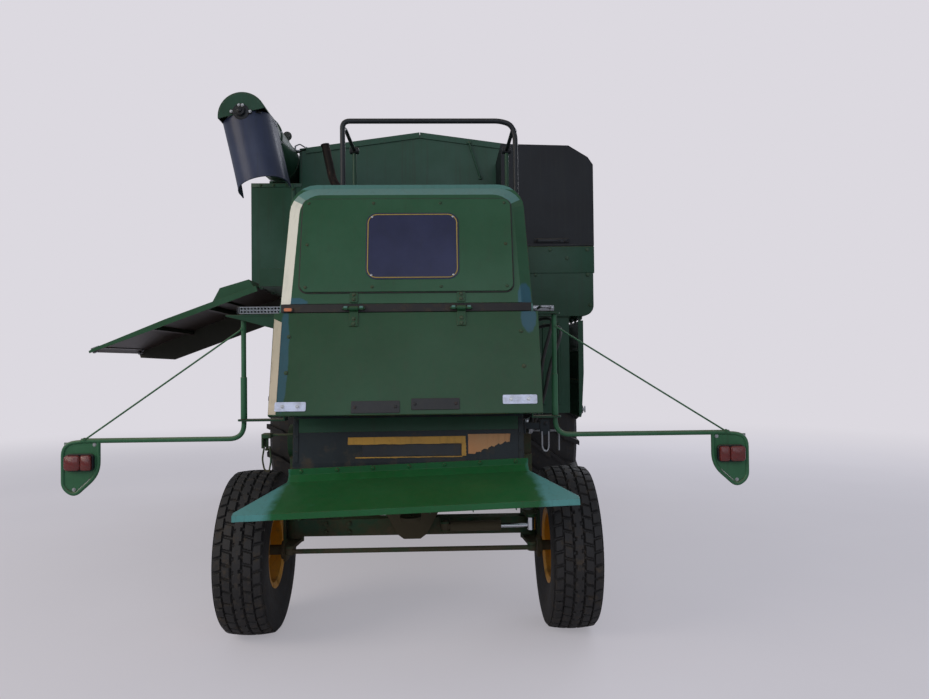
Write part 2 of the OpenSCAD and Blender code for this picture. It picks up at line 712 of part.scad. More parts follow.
// Hood: a hollow shell, open at its foot and behind the flap, with a chamfered rear panel
module hood_shell() color(green) place() {
    lip = flap_t / cos(flap_angle) + 4;
    difference() {
        union() {
            intersection() {
                along_y(-800, hood_front_y + 800) hood_section(0);
                along_x(-hood_w / 2, hood_w) polygon([
                    [flap_foot[0] + lip + 5, hood_bottom_z], [flap_head[0] + lip, flap_head[1] + 10],
                    [panel_foot[0] + panel_d, panel_foot[1]], [panel_head[0] + panel_d, hood_top_z],
                    [hood_front_y, hood_top_z], [hood_front_y, hood_bottom_z]
                ]);
            }
            rear_panel();
            for (h = hinge_table, s = [-1, 1]) flap_ear(h[0] + s * (h[1] / 2 - 12));
        }
        intersection() {
            along_y(-900, hood_front_y + 1000) hood_section(hood_wall);
            along_x(-hood_w / 2, hood_w) polygon([
                [-800, hood_bottom_z - 100], [-800, flap_head[1] + 15],
                [panel_foot[0] + panel_d + 46, flap_head[1] + 15],
                [panel_head[0] + panel_d + 50, hood_top_z - 50], [hood_front_y - 40, hood_top_z - 50],
                [hood_front_y - 40, deck_z + 1], [hood_front_y + 50, deck_z + 1],
                [hood_front_y + 50, hood_bottom_z - 100]
            ]);
        }
        box([-body_w / 2, 240, hood_bottom_z - 100], [body_w / 2, hood_front_y + 50, deck_z + 1]);
        translate([-hood_w / 2, flap_hinge[0], flap_hinge[1]]) cylinder_x(0, hood_w, flap_pin_r + pin_gap);
    }
}

// The rear panel's face, with a chamfer on both sides and at its head
module rear_panel() on_panel(panel_foot, panel_angle) hull() {
    translate([0, 0, -panel_d - 1]) linear_extrude(1) panel_outline(0);
    translate([0, 0, -1]) linear_extrude(1) panel_outline(65);
}

module panel_outline(inset) {
    w0 = hood_w / 2 - inset;
    w1 = hood_top_w / 2 - inset;
    r = hood_corner_r - inset / 2;
    top = panel_len - 11 - inset;
    polygon(concat([[-w0, 0], [w0, 0]],
        [for (a = [0 : 15 : 90]) [w1 - r + r * cos(a), top - r + r * sin(a)]],
        [for (a = [90 : 15 : 180]) [-w1 + r + r * cos(a), top - r + r * sin(a)]]));
}

// An eye for the flap's hinge pin, on the strip under the rear panel
module flap_ear(x) {
    translate([x - 10, flap_hinge[0], flap_hinge[1]]) cylinder_x(0, 20, 14);
    box([x - 10, flap_hinge[0], flap_hinge[1] - 2],
        [x + 10, panel_foot[0] + panel_d + 20, flap_hinge[1] + 14]);
}

// The raised cover bolted on the rear panel
module hood_cover() color(green) place() on_panel(panel_foot, panel_angle)
    translate([0, 65, 0]) linear_extrude(cover_t) round_panel(cover_w, cover_h, 45);

// Flap: a sheet with folded sides and foot, hung on two strap hinges
module hood_flap() color(green) place() {
    on_panel(flap_foot, flap_angle) {
        translate([-flap_w / 2, 0, -flap_t]) cube([flap_w, flap_len, flap_t]);
        for (s = [-1, 1]) on_side(s) translate([flap_w / 2 - 8, 0, -45]) cube([8, flap_len - 20, 45]);
        translate([-flap_w / 2, 0, -22]) cube([flap_w, 8, 22]);
    }
    for (h = hinge_table) {
        translate([h[0] - h[1] / 2, flap_hinge[0], flap_hinge[1]]) cylinder_x(-6, h[1] + 12, flap_pin_r);
        difference() {
            union() {
                translate([h[0] - 24, flap_hinge[0], flap_hinge[1]]) cylinder_x(0, 48, 13);
                on_panel(flap_foot, flap_angle) translate([h[0] - 24, flap_len - 80, 0]) cube([48, 98, 7]);
            }
            translate([h[0] - 30, flap_hinge[0], flap_hinge[1]]) cylinder_x(0, 60, flap_pin_r);
        }
    }
}

// Chopper housing: a casing round the rotor, open above for the straw and behind its foot
module chopper_housing() color(grey_blue) place() difference() {
    union() {
        along_x(-body_w / 2, body_w) polygon([
            [chopper_rear_y + 38, chopper_z0 + chopper_h], [chopper_rear_y, chopper_z0 + 45],
            [chopper_rear_y, chopper_z0], [240, chopper_z0], [240, chopper_z0 + chopper_h]
        ]);
        translate([0, rotor_y, rotor_z]) cylinder_x(-body_w / 2 - 12, body_w + 24, 62);
    }
    translate([0, rotor_y, rotor_z]) cylinder_x(-body_w / 2 + 20, body_w - 40, knife_r + 14);
    along_x(-body_w / 2 + 20, body_w - 40) {
        square_from([rotor_y - 120, rotor_z], [rotor_y + 120, rotor_z + 300]);
        square_from([rotor_y - 210, chopper_z0 - 50], [rotor_y - 30, chopper_z0 + 60]);
    }
    translate([0, rotor_y, rotor_z]) cylinder_x(-body_w, 2 * body_w, 25 + pin_gap);
}

// Chopper rotor: drum, shaft and rows of knives
module chopper_rotor() color(steel) place() translate([0, rotor_y, rotor_z]) {
    cylinder_x(-body_w / 2 + 28, body_w - 56, drum_r);
    cylinder_x(-body_w / 2 - 60, body_w + 80, 25);
    pitch = (body_w - 180) / (knives - 1);
    for (row = [0 : knife_rows - 1], i = [0 : knives - 1])
        rotate([row * 360 / knife_rows, 0, 0])
            translate([-body_w / 2 + 80 + pitch * i + (row % 2) * 20, -18, 0]) cube([8, 36, knife_r - 2]);
    translate([-body_w / 2 - 58, 0, 0]) cylinder_x(0, 40, 95);
}

// Tailboard: a bent sheet that spreads the straw, with fins below; its left end is bent down
module tailboard() color(bright_green) place()
    translate([0, chopper_rear_y, chopper_z0]) rotate([0, -tailboard_dip, 0]) {
        t = tailboard_t;
        intersection() {
            along_x(-tailboard_w / 2, tailboard_w) polygon([
                [0, 38], [0, 2], [-34, -36], [-352, -141], [-358, -169],
                [-364, -169], [-357, -137], [-38, -31], [-t, 4], [-t, 38]
            ]);
            translate([0, 0, -400]) linear_extrude(800) polygon([
                [-body_w / 2 - 20, 10], [body_w / 2 + 20, 10], [body_w / 2 + 20, -30],
                [tailboard_w / 2, -330], [tailboard_w / 2, -370], [-tailboard_w / 2, -370],
                [-tailboard_w / 2, -330], [-body_w / 2 - 20, -30]
            ]);
        }
        for (x = [-560 : 224 : 560]) along_x(x, 5) polygon([
            [-60, -41], [-330, -130], [-330, -185], [-200, -170], [-100, -100]
        ]);
    }

// Grain tank: hopper walls, shoulders, neck and gable ends
module grain_tank() color(green) place() difference() {
    union() {
        along_y(tank_rear_y, tank_l) polygon([
            [-tank_w / 2, deck_z], [tank_w / 2, deck_z], [tank_w / 2, tank_top_z],
            [neck_w / 2, tank_top_z], [neck_w / 2, eaves_z], [0, eaves_z + ridge_rise],
            [-neck_w / 2, eaves_z], [-neck_w / 2, tank_top_z], [-tank_w / 2, tank_top_z]
        ]);
        for (s = [-1, 1], y = lid_ears) lid_ear(s, y);
        for (s = [-1, 1], i = [1 : tank_ribs]) on_side(s) tank_rib(tank_rear_y + tank_l * i / (tank_ribs + 1));
    }
    along_y(tank_rear_y + tank_t, tank_l - 2 * tank_t) polygon([
        [-300, deck_z + tank_t], [300, deck_z + tank_t],
        [tank_w / 2 - tank_t, deck_z + 480], [tank_w / 2 - tank_t, tank_top_z - tank_t],
        [neck_w / 2 - tank_t, tank_top_z - tank_t], [neck_w / 2 - tank_t, eaves_z + 400],
        [-neck_w / 2 + tank_t, eaves_z + 400], [-neck_w / 2 + tank_t, tank_top_z - tank_t],
        [-tank_w / 2 + tank_t, tank_top_z - tank_t], [-tank_w / 2 + tank_t, deck_z + 480]
    ]);
    for (s = [-1, 1]) translate([s * lid_hinge_x, tank_rear_y, lid_hinge_z]) rotate([-90, 0, 0])
        cylinder(h = tank_l, r = 8 + pin_gap);
}

// A pressed rib on the tank's side wall
module tank_rib(y) translate([tank_w / 2, y, deck_z + 70]) linear_extrude(tank_top_z - deck_z - 140)
    polygon([[-5, -34], [0, -34], [14, -20], [14, 20], [0, 34], [-5, 34]]);

module lid_ear(side, y) on_side(side) {
    translate([lid_hinge_x, y, lid_hinge_z]) rotate([-90, 0, 0]) cylinder(h = 40, r = 15);
    box([neck_w / 2 - 5, y, lid_hinge_z - 40], [lid_hinge_x + 10, y + 40, lid_hinge_z - 4]);
}

// A tank lid: a sheet from its hinge to the ridge, with a folded edge and two stiffeners below
module tank_lid(side) on_side(side) {
    edge = 12;
    run = lid_hinge_x - 3;
    rise = run * tan(lid_angle);
    difference() {
        along_y(tank_rear_y - 12, tank_l + 24) polygon([
            [lid_hinge_x, lid_hinge_z + 3], [3, lid_hinge_z + 3 + rise],
            [3, lid_hinge_z + 3 + rise + lid_t], [lid_hinge_x, lid_hinge_z + 3 + lid_t]
        ]);
        for (y = lid_ears) translate([lid_hinge_x, y - 6, lid_hinge_z]) rotate([-90, 0, 0])
            cylinder(h = 52, r = 15 + free_gap);
    }
    for (y = [tank_rear_y + 110, tank_front_y - 160]) translate([lid_hinge_x, y, lid_hinge_z])
        rotate([-90, 0, 0]) cylinder(h = 50, r = 12);
    translate([lid_hinge_x, tank_rear_y + 50, lid_hinge_z]) rotate([-90, 0, 0])
        cylinder(h = tank_l - 120, r = 8);
    for (y = [tank_rear_y - 12, tank_front_y + 12 - edge + 8]) along_y(y, 4) polygon([
        [lid_hinge_x - 60, lid_hinge_z + 8 + 60 * tan(lid_angle)], [3, lid_hinge_z + 8 + rise],
        [3, lid_hinge_z - 40 + rise], [lid_hinge_x - 60, lid_hinge_z - 40 + 60 * tan(lid_angle)]
    ]);
}
module tank_lid_left() color(green) place() tank_lid(-1);
module tank_lid_right() color(green) place() tank_lid(1);

// Engine, as one plain block on the deck
module engine_block() color(black) place()
    box([-engine_w / 2, engine_y, deck_z], [engine_w / 2, engine_y + engine_l, deck_z + engine_h]);

// Exhaust: a silencer beside the engine and a leaning stack
module exhaust() color(black) place() {
    x = -engine_w / 2 - 130;
    y = engine_y + 220;
    bar([x + 130, y, deck_z + 425], [x, y, deck_z + 425], 32);
    translate([x, y, deck_z + 345]) cylinder(h = 260, r = 66);
    bar([x, y, deck_z + 565], [x - 50, y, deck_z + 985], 30);
}

// Guard rail round the engine deck, standing on the hood's roof
module guard_rail() color(black) place() {
    top = hood_top_z + 560;
    y1 = hood_front_y - 60;
    for (x = [-450, 690]) {
        tube([[x, 300, hood_top_z], [x, 300, top], [x, y1, top], [x, y1, hood_top_z]], rail_tube_r, 60);
        for (y = [300, y1]) translate([x, y, hood_top_z]) cylinder(h = 8, r = 40);
    }
    bar([-450, 360, top], [690, 360, top], rail_tube_r);
}

// Cooling box on the right shoulder, with the round recess of the rotary screen
module screen_housing() color(black) place() difference() {
    along_y(right_door_y - 10, tank_rear_y - right_door_y) polygon([
        [screen_w, deck_z + 265], [screen_side_x, deck_z + 265], [screen_side_x, tank_top_z],
        [screen_side_x - 45, tank_top_z + 65], [screen_side_x - 210, tank_top_z + 165],
        [screen_w, tank_top_z + 180]
    ]);
    translate([0, screen_y, screen_z]) {
        cylinder_x(screen_side_x - 170, 400, screen_r + free_gap);
        cylinder_x(screen_side_x - 270, 400, 20 + pin_gap);
    }
}

// Rotary screen: a drum with a rim, a sunken face, bars and two rings across it, turning on its shaft
module rotary_screen() color(steel) place() translate([0, screen_y, screen_z]) {
    face_x = screen_side_x - 42;
    cylinder_x(screen_side_x - 250, 90, 20);
    difference() {
        cylinder_x(screen_side_x - 162, 160, screen_r);
        cylinder_x(face_x, 100, screen_r - 14);
    }
    for (i = [0 : screen_bars - 1]) rotate([i * 360 / screen_bars, 0, 0])
        box([face_x - 5, -7, 40], [face_x + 22, 7, screen_r - 8]);
    for (r = [screen_r * 0.45, screen_r * 0.72]) translate([face_x - 5, 0, 0]) rotate([0, 90, 0])
        difference() {
            cylinder(h = 14, r = r + 5);
            translate([0, 0, -1]) cylinder(h = 16, r = r - 5);
        }
    cylinder_x(face_x - 5, 57, 58);
}

// A side door in its closed place, hanging from its hinge: outer side towards -X
module side_door(h, l, bulge) {
    w = door_t;
    // skin: a slightly bent sheet
    along_y(0, l) polygon([
        [-14, -24], [-14, -h * 0.55], [6, -h + 30], [14, -h], [22, -h], [14, -h + 34],
        [-6, -h * 0.55], [-6, -24]
    ]);
    along_y(0, 8) polygon([[-14, -24], [-14, -h * 0.55], [14, -h], [w, -h], [w, -24]]);
    along_y(l - 8, 8) polygon([
        [-14, -24], [-14, -h * 0.55], [14, -h], [60, -h], [bulge, -h * 0.8], [bulge, -h * 0.12], [60, -24]
    ]);
    // stiffeners across the door
    for (f = [0.3, 0.62]) along_y(4, l - 8) polygon([
        [-8, -h * f], [-8, -h * f - 40], [w, -h * f - 30], [w, -h * f - 10]
    ]);
    // hinge strip and knuckles
    box([-14, 0, -40], [-2, l, -24]);
}

// Hinge knuckles of a side door between the ears of its shoulder
module door_knuckles(l, ears, y0) {
    for (y = ears) {
        translate([0, y - y0 + 46, 0]) rotate([-90, 0, 0]) cylinder(h = 50, r = 14);
        box([-14, y - y0 + 46, -30], [-2, y - y0 + 96, 0]);
    }
    y1 = ears[0] - y0;
    translate([0, y1, 0]) rotate([-90, 0, 0])
        cylinder(h = ears[len(ears) - 1] - y0 - y1 + 96, r = door_pin_r);
}

// Left side door, held open, with a box-shaped bulge near its hinge
module side_door_left() color(green) place()
    translate([-left_hinge_x, left_door_y, left_hinge_z]) rotate([0, left_door_open, 0]) {
        side_door(left_door_h, left_door_l, 180);
        along_y(60, left_door_l - 120) polygon([
            [-14, -50], [-90, -70], [-104, -300], [-14, -400]
        ]);
        door_knuckles(left_door_l, door_ears(left_door_y, left_door_l), left_door_y);
    }

// Right side door, closed
module side_door_right() color(green) place()
    translate([right_hinge_x, right_door_y, right_hinge_z]) mirror([1, 0, 0]) {
        side_door(right_door_h, right_door_l, 90);
        door_knuckles(right_door_l, door_ears(right_door_y, tank_rear_y - right_door_y - 20), right_door_y);
    }

// Brackets on the hood's sides that carry the lamp arms; the left upper one is the work light's shelf
module arm_bracket(side, x) on_side(side) difference() {
    union() {
        for (z = [arm_low_z - 20, arm_high_z]) translate([0, arm_y, z]) linear_extrude(10) {
            translate([x, 0]) circle(r = 34);
            square_from([hood_w / 2, -45], [x, 45]);
        }
        box([hood_w / 2, arm_y - 45, arm_high_z - 60], [hood_w / 2 + 8, arm_y + 45, arm_high_z + 10]);
        box([rail_out - 30, arm_y - 45, arm_low_z - 20], [rail_out - 22, arm_y + 45, hood_bottom_z + 60]);
    }
    translate([x, arm_y, arm_low_z]) cylinder(h = 1200, r = 10 + pin_gap);
    translate([x, arm_y, arm_low_z - 100]) cylinder(h = 110, r = arm_r + pin_gap);
}
module arm_brackets() color(green) place() {
    arm_bracket(-1, left_arm_x);
    arm_bracket(1, right_arm_x);
}

// A lamp arm on the right: upright tube, bent reach, brace, end loop with plate and lamp
module lamp_arm(side, x) on_side(side) translate([0, arm_y, 0]) {
    tube([
        [x, 0, arm_high_z - 2], [x, 0, arm_out_z], [arm_reach - 110, 0, arm_out_z]
    ], arm_r, 70);
    translate([x, 0, arm_high_z - 10]) cylinder(h = 16, r = 10);
    translate([x, 0, arm_low_z - 10 + seat_gap]) cylinder(h = 240, r = arm_r + 4);
    bar([x, 0, arm_high_z - 70], [arm_reach - 130, 0, arm_out_z], 5);
    loop = [
        [arm_reach - 120, 0, arm_out_z], [arm_reach, 0, arm_out_z - 60], [arm_reach, 0, arm_out_z - 260],
        [arm_reach - 70, 0, arm_out_z - 310], [arm_reach - 200, 0, arm_out_z - 180],
        [arm_reach - 200, 0, arm_out_z]
    ];
    for (i = [1 : len(loop) - 1]) bar(loop[i - 1], loop[i], loop_r);
    for (i = [1 : len(loop) - 2]) translate(loop[i]) sphere(r = loop_r + 1);
    box([arm_reach - 195, -3, arm_out_z - 178], [arm_reach - 6, 3, arm_out_z - 70]);
    box([arm_reach - 180, -52, arm_out_z - 165], [arm_reach - 30, 0, arm_out_z - 75]);
}
module lamp_arm_left() color(green) place() lamp_arm(-1, left_arm_x);
module lamp_arm_right() color(green) place() lamp_arm(1, right_arm_x);

// Bar-shaped work light on the left bracket
module work_light() color(black) place()
    box([-left_arm_x - 30, arm_y - 30, arm_high_z + 10], [-hood_w / 2 - 10, arm_y + 30, arm_high_z + 55]);

// Auger base: flange and pivot spigot on the tank's left shoulder, and the tube's rest
module auger_base() color(green) place() {
    translate([-auger_x, auger_pivot_y, tank_top_z]) {
        cylinder(h = 30, r = 175);
        cylinder(h = 120, r = turret_r);
    }
    difference() {
        box([-auger_x - 90, tank_rear_y + 60, tank_top_z],
            [-auger_x + 90, tank_rear_y + 130, auger_z - auger_r - seat_gap]);
        box([-auger_x - 60, tank_rear_y + 50, tank_top_z + 10],
            [-auger_x + 60, tank_rear_y + 140, tank_top_z + 25]);
    }
}

// Unloading auger: turning elbow, long tube, end bearing and the half-pipe spout
module auger_tube() color(green) place() translate([-auger_x, 0, auger_z]) {
    difference() {
        union() {
            translate([0, auger_pivot_y, tank_top_z + 31 - auger_z])
                cylinder(h = auger_z - tank_top_z - 31, r = auger_r - 5);
            translate([0, auger_pivot_y, 0]) sphere(r = auger_r);
            bar([0, auger_end_y, 0], [0, auger_pivot_y, 0], auger_r);
            bar([0, auger_end_y - 14, 0], [0, auger_end_y + 12, 0], auger_r + 10);
            bar([0, auger_end_y - 40, 0], [0, auger_end_y, 0], 36);
            bar([0, auger_end_y + 520, 0], [0, auger_end_y + 546, 0], auger_r + 12);
        }
        translate([0, auger_pivot_y, tank_top_z - auger_z]) cylinder(h = 125, r = turret_r + pin_gap);
    }
    spout();
}

// Spout: a half pipe, round towards the rear, with an arched lower edge
module spout() translate([0, auger_end_y + auger_r, 0]) rotate([0, -spout_lean, 0]) difference() {
    translate([0, 0, -spout_drop]) cylinder(h = spout_drop, r = auger_r + 4);
    translate([0, 0, -spout_drop - 10]) cylinder(h = spout_drop + 20, r = auger_r - 4);
    box([-300, 0, -spout_drop - 10], [300, 300, 10]);
    translate([0, 0, -spout_drop - 40]) rotate([90, 0, 0]) translate([0, 0, -300]) cylinder(h = 600, r = 100);
}

// A grooved pulley on the left side of the body
module pulley(p) translate([-body_w / 2 - p[3], p[0], p[1]]) rotate([0, -90, 0]) {
    rotate_extrude() polygon([
        [0, 0], [p[2], 0], [p[2] - 18, 12], [p[2] - 18, 28], [p[2], 40], [p[2] - 26, 40],
        [p[2] - 30, 26], [45, 26], [40, 48], [0, 48]
    ]);
}
module drive_pulleys() color(black) place() {
    for (p = pulleys) pulley(p);
    for (p = [pulleys[0], pulleys[1], pulleys[2], pulleys[4]])
        translate([-body_w / 2 - p[3] - 55, p[0], p[1]]) cylinder_x(0, p[3] + 55, 22);
}

// Belts: a closed loop round two pulleys
module belt(a, b) translate([-body_w / 2 - a[3] - 27, 0, 0]) rotate([90, 0, 90]) linear_extrude(14)
    difference() {
        hull() {
            translate([a[0], a[1]]) circle(r = a[2] - 4);
            translate([b[0], b[1]]) circle(r = b[2] - 4);
        }
        hull() {
            translate([a[0], a[1]]) circle(r = a[2] - 17);
            translate([b[0], b[1]]) circle(r = b[2] - 17);
        }
    }
module drive_belts() color(rubber) place() {
    belt(pulleys[0], pulleys[2]);
    belt(pulleys[3], pulleys[4]);
}

// Grain elevator: a slanting casing on the right of the body
module grain_elevator() color(green) place() along_x(rail_out, 180) polygon([
    [wheelbase - 1390, 880], [wheelbase - 1270, 800], [wheelbase - 1090, 860],
    [wheelbase - 990, deck_z], [wheelbase - 1230, deck_z]
]);

// Cab shell: floor, rear wall and posts with all windows cut
module cab_shell() color(green) place() {
    difference() {
        box([-cab_w / 2, cab_y, cab_floor_z], [cab_w / 2, cab_y + cab_l, cab_floor_z + cab_h]);
        box([-cab_w / 2 + cab_t, cab_y + cab_t, cab_floor_z + cab_t],
            [cab_w / 2 - cab_t, cab_y + cab_l - cab_t, cab_floor_z + cab_h + 10]);
        // windscreen, right side window, rear window and doorway
        box([-cab_w / 2 + sash, cab_y + cab_l - 100, cab_floor_z + 120],
            [cab_w / 2 - sash, cab_y + cab_l + 10, cab_floor_z + cab_h - sash]);
        box([cab_w / 2 - 100, cab_y + sash + 60, cab_floor_z + 420],
            [cab_w / 2 + 10, cab_y + cab_l - sash, cab_floor_z + cab_h - sash]);
        box([-cab_w / 2 + 150, cab_y - 10, cab_floor_z + 700],
            [cab_w / 2 - 150, cab_y + 60, cab_floor_z + cab_h - 200]);
        box([-cab_w / 2 - 10, cab_door_y - free_gap, cab_floor_z + cab_t - 1],
            [-cab_w / 2 + 60, cab_door_y + cab_door_l + free_gap, cab_floor_z + cab_h - sash + free_gap]);
    }
    // ears of the door's hinge
    for (z = cab_door_ears) difference() {
        union() {
            translate([-cab_w / 2 - 14, cab_door_y - 4, z]) cylinder(h = 40, r = 14);
            box([-cab_w / 2 - 14, cab_door_y - 18, z], [-cab_w / 2, cab_door_y - 8, z + 40]);
        }
        translate([-cab_w / 2 - 14, cab_door_y - 4, z - 5]) cylinder(h = 50, r = 7 + pin_gap);
    }
}

// Cab roof with rounded corners
module cab_roof() color(green) place() translate([0, cab_y + cab_l / 2 + 20, cab_floor_z + cab_h]) {
    linear_extrude(70) translate([0, -cab_l / 2 - 60]) round_panel(cab_w + 60, cab_l + 160, 120);
    translate([0, 0, 70]) linear_extrude(40)
        translate([0, -cab_l / 2 - 20]) round_panel(cab_w - 40, cab_l + 60, 140);
}

// Fixed panes in the cab's windows
module cab_glass() color([0.5, 0.6, 0.65, 0.4]) place() {
    box([-cab_w / 2 + sash, cab_y + cab_l - 30, cab_floor_z + 120],
        [cab_w / 2 - sash, cab_y + cab_l - 24, cab_floor_z + cab_h - sash]);
    box([cab_w / 2 - 30, cab_y + sash + 60, cab_floor_z + 420],
        [cab_w / 2 - 24, cab_y + cab_l - sash, cab_floor_z + cab_h - sash]);
    box([-cab_w / 2 + 150, cab_y + 20, cab_floor_z + 700],
        [cab_w / 2 - 150, cab_y + 26, cab_floor_z + cab_h - 200]);
}

// Cab door: a frame hung on a pin at its rear edge
module cab_door() color(green) place() {
    z0 = cab_floor_z + cab_t + free_gap;
    z1 = cab_floor_z + cab_h - sash;
    difference() {
        union() {
            box([-cab_w / 2, cab_door_y, z0], [-cab_w / 2 + 40, cab_door_y + cab_door_l, z1]);
            translate([-cab_w / 2 - 14, cab_door_y - 4, cab_door_ears[0]])
                cylinder(h = cab_door_ears[1] - cab_door_ears[0] + 46, r = 7);
            for (z = cab_door_ears) {
                translate([-cab_w / 2 - 14, cab_door_y - 4, z + 46]) cylinder(h = 40, r = 12);
                box([-cab_w / 2 - 18, cab_door_y - 4, z + 46], [-cab_w / 2 + 4, cab_door_y + 26, z + 86]);
            }
        }
        box([-cab_w / 2 - 10, cab_door_y + sash, z0 + 90],
            [-cab_w / 2 + 60, cab_door_y + cab_door_l - sash, z1 - sash]);
    }
}

module cab_door_glass() color([0.5, 0.6, 0.65, 0.4]) place()
    box([-cab_w / 2 + 17, cab_door_y + sash, cab_floor_z + cab_t + free_gap + 90],
        [-cab_w / 2 + 23, cab_door_y + cab_door_l - sash, cab_floor_z + cab_h - 2 * sash]);

// Mirrors on bent arms from the cab's front posts
module cab_mirrors() color(black) place() for (s = [-1, 1]) on_side(s) {
    x = cab_w / 2;
    y = cab_y + cab_l - 40;
    z = cab_floor_z + cab_h - 500;
    x0 = x + seat_gap;
    tube([[x0, y, z], [x + 255, y, z], [x + 255, y, z + 430], [x0, y, z + 430]], 9, 50);
    translate([x + 255, y, z + 215 - mirror_h / 2]) linear_extrude(mirror_h)
        polygon([[-92, -14], [-70, -34], [70, -34], [92, -14], [92, 10], [-92, 10]]);
}

// Driver's seat, its pedestal and the steering column
module cab_seat() color(black) place() translate([0, cab_y, cab_floor_z + cab_t]) {
    box([-180, 420, 0], [180, 760, 300]);
    along_x(-260, 520) polygon([
        [400, 300], [900, 300], [910, 420], [480, 410], [400, 980], [300, 980], [340, 400]
    ]);
    box([-70, 1110, 0], [70, 1250, 12]);
    bar([0, 1179, 8], [0, 1080, 760], 40);
    translate([0, 1075, 760]) rotate([20, 0, 0]) rotate_extrude() translate([190, 0]) circle(r = 14);
    translate([0, 1075, 760]) rotate([20, 0, 0]) for (a = [0, 120, 240]) rotate([0, 0, a])
        cylinder_x(0, 190, 9);
}

// Platform beside the cab with its ladder and handrails
module platform() color(green) place() {
    x0 = -cab_w / 2 - 775;
    x1 = -cab_w / 2;
    y0 = cab_y + 180;
    y1 = cab_y + cab_l - 120;
    z = cab_floor_z;
    box([x0, y0, z - 50], [x1, y1, z]);
    // handrails
    top = z + 1000;
    tube([
        [x0 + 20, y0 + 20, z], [x0 + 20, y0 + 20, top], [x0 + 20, y0 + 420, top], [x0 + 20, y0 + 420, z]
    ], rail_tube_r, 70);
    tube([
        [x0 + 20, y1 - 20, z], [x0 + 20, y1 - 20, top], [x1 - 60, y1 - 20, top], [x1 - 60, y1 - 20, z]
    ], rail_tube_r, 70);
    // ladder
    for (y = [y0 + 470, y0 + 930]) along_y(y, 30) polygon([
        [x0, z], [x0 - 60, z], [x0 - 160, 420], [x0 - 100, 420]
    ]);
    for (i = [0 : 4])
        box([x0 - 150 + i * 20, y0 + 480, 480 + i * 300], [x0 + i * 20 - 40, y0 + 950, 520 + i * 300]);
}

// Feeder housing: a hollow slanting channel with a pin at each side of its root
module feeder_house() color(green) place() translate([0, feeder_pivot[0], feeder_pivot[1]])
    rotate([-feeder_slope, 0, 0]) {
        w = feeder_w / 2;
        h = feeder_h / 2;
        difference() {
            union() {
                box([-w, 0, -h], [w, feeder_l, h]);
                box([-w - 50, feeder_l, -h - 50], [w + 50, feeder_l + 40, h + 50]);
                cylinder_x(-rail_in, 2 * rail_in, feeder_pin_r);
                for (s = [-1, 1]) on_side(s) {
                    box([w, feeder_l - 300, -h + 40], [w + 30, feeder_l, -h + 100]);
                }
                for (s = [-1, 1]) on_side(s) lift_head_lug();
                for (y = [420 : 430 : feeder_l - 120]) along_x(-w, 2 * w)
                    polygon([[y, h - 5], [y, h], [y + 12, h + 18], [y + 48, h + 18], [y + 60, h], [y + 60, h - 5]]);
            }
            box([-w + 30, -10, -h + 30], [w - 30, feeder_l + 50, h - 30]);
        }
        // centring pins for a header, each on a slimmer neck
        for (s = [-1, 1]) {
            translate([s * (w + 10), feeder_l + 30, 60 - h]) rotate([-90, 0, 0]) {
                cylinder(h = 16, r = header_pin_r - 2);
                translate([0, 0, 15]) cylinder(h = 80, r = header_pin_r);
            }
        }
        // shafts and sprockets of the slat conveyor
        for (y = [90, feeder_l - 220]) translate([0, y, 0]) {
            cylinder_x(-w, 2 * w, 60);
            for (x = [-400, 0, 400]) cylinder_x(x - 12, 24, 84);
        }
    }

// The lug beside a lift ram's eye, under the feeder's floor
module lift_head_lug() along_x(lift_x + lift_rod_r + seat_gap, 20) {
    translate([lift_arm[0], -feeder_h / 2 - lift_arm[1]]) circle(r = 38);
    polygon([
        [lift_arm[0] - 110, -feeder_h / 2], [lift_arm[0] + 110, -feeder_h / 2],
        [lift_arm[0] + 38, -feeder_h / 2 - lift_arm[1]], [lift_arm[0] - 38, -feeder_h / 2 - lift_arm[1]]
    ]);
}

// A lift ram lies on the line from its foot pin to the feeder's lug
module on_lift(side)
    translate([side * lift_x, lift_foot[0], lift_foot[1]]) rotate([lift_angle, 0, 0]) children();

module lift_barrel(side) on_lift(side) difference() {
    union() {
        bar([0, 45, 0], [0, 760, 0], 48);
        translate([-30, 0, 0]) cylinder_x(0, 60, 38);
        translate([-55, 0, 0]) cylinder_x(0, 110, 20);
        box([-24, 0, -24], [24, 60, 24]);
        bar([0, 740, 0], [0, 775, 0], 56);
    }
    bar([0, 120, 0], [0, 800, 0], lift_rod_r + pin_gap);
}
module lift_barrel_left() color(dark_green) place() lift_barrel(-1);
module lift_barrel_right() color(dark_green) place() lift_barrel(1);

module lift_rod(side) on_lift(side) {
    bar([0, 420, 0], [0, lift_len - 30, 0], lift_rod_r);
    translate([-lift_rod_r, lift_len, 0]) cylinder_x(0, 2 * lift_rod_r, 36);
}
module lift_rod_left() color(steel) place() lift_rod(-1);
module lift_rod_right() color(steel) place() lift_rod(1);

main_frame();
rear_axle();
knuckle_left();
knuckle_right();
tie_rod();
steer_barrel();
steer_rod();
rear_rim_left();
rear_rim_right();
rear_tyre_left();
rear_tyre_right();
front_axle();
front_rim_left();
front_rim_right();
front_tyre_left();
front_tyre_right();
separator_body();
side_bodies();
hood_shell();
hood_cover();
hood_flap();
chopper_housing();
chopper_rotor();
tailboard();
grain_tank();
tank_lid_left();
tank_lid_right();
engine_block();
exhaust();
guard_rail();
screen_housing();
rotary_screen();
side_door_left();
side_door_right();
arm_brackets();
lamp_arm_left();
lamp_arm_right();
work_light();
auger_base();
auger_tube();
drive_pulleys();
drive_belts();
grain_elevator();
cab_shell();
cab_roof();
cab_glass();
cab_door();
cab_door_glass();
cab_mirrors();
cab_seat();
platform();
feeder_house();
lift_barrel_left();
lift_barrel_right();
lift_rod_left();
lift_rod_right();
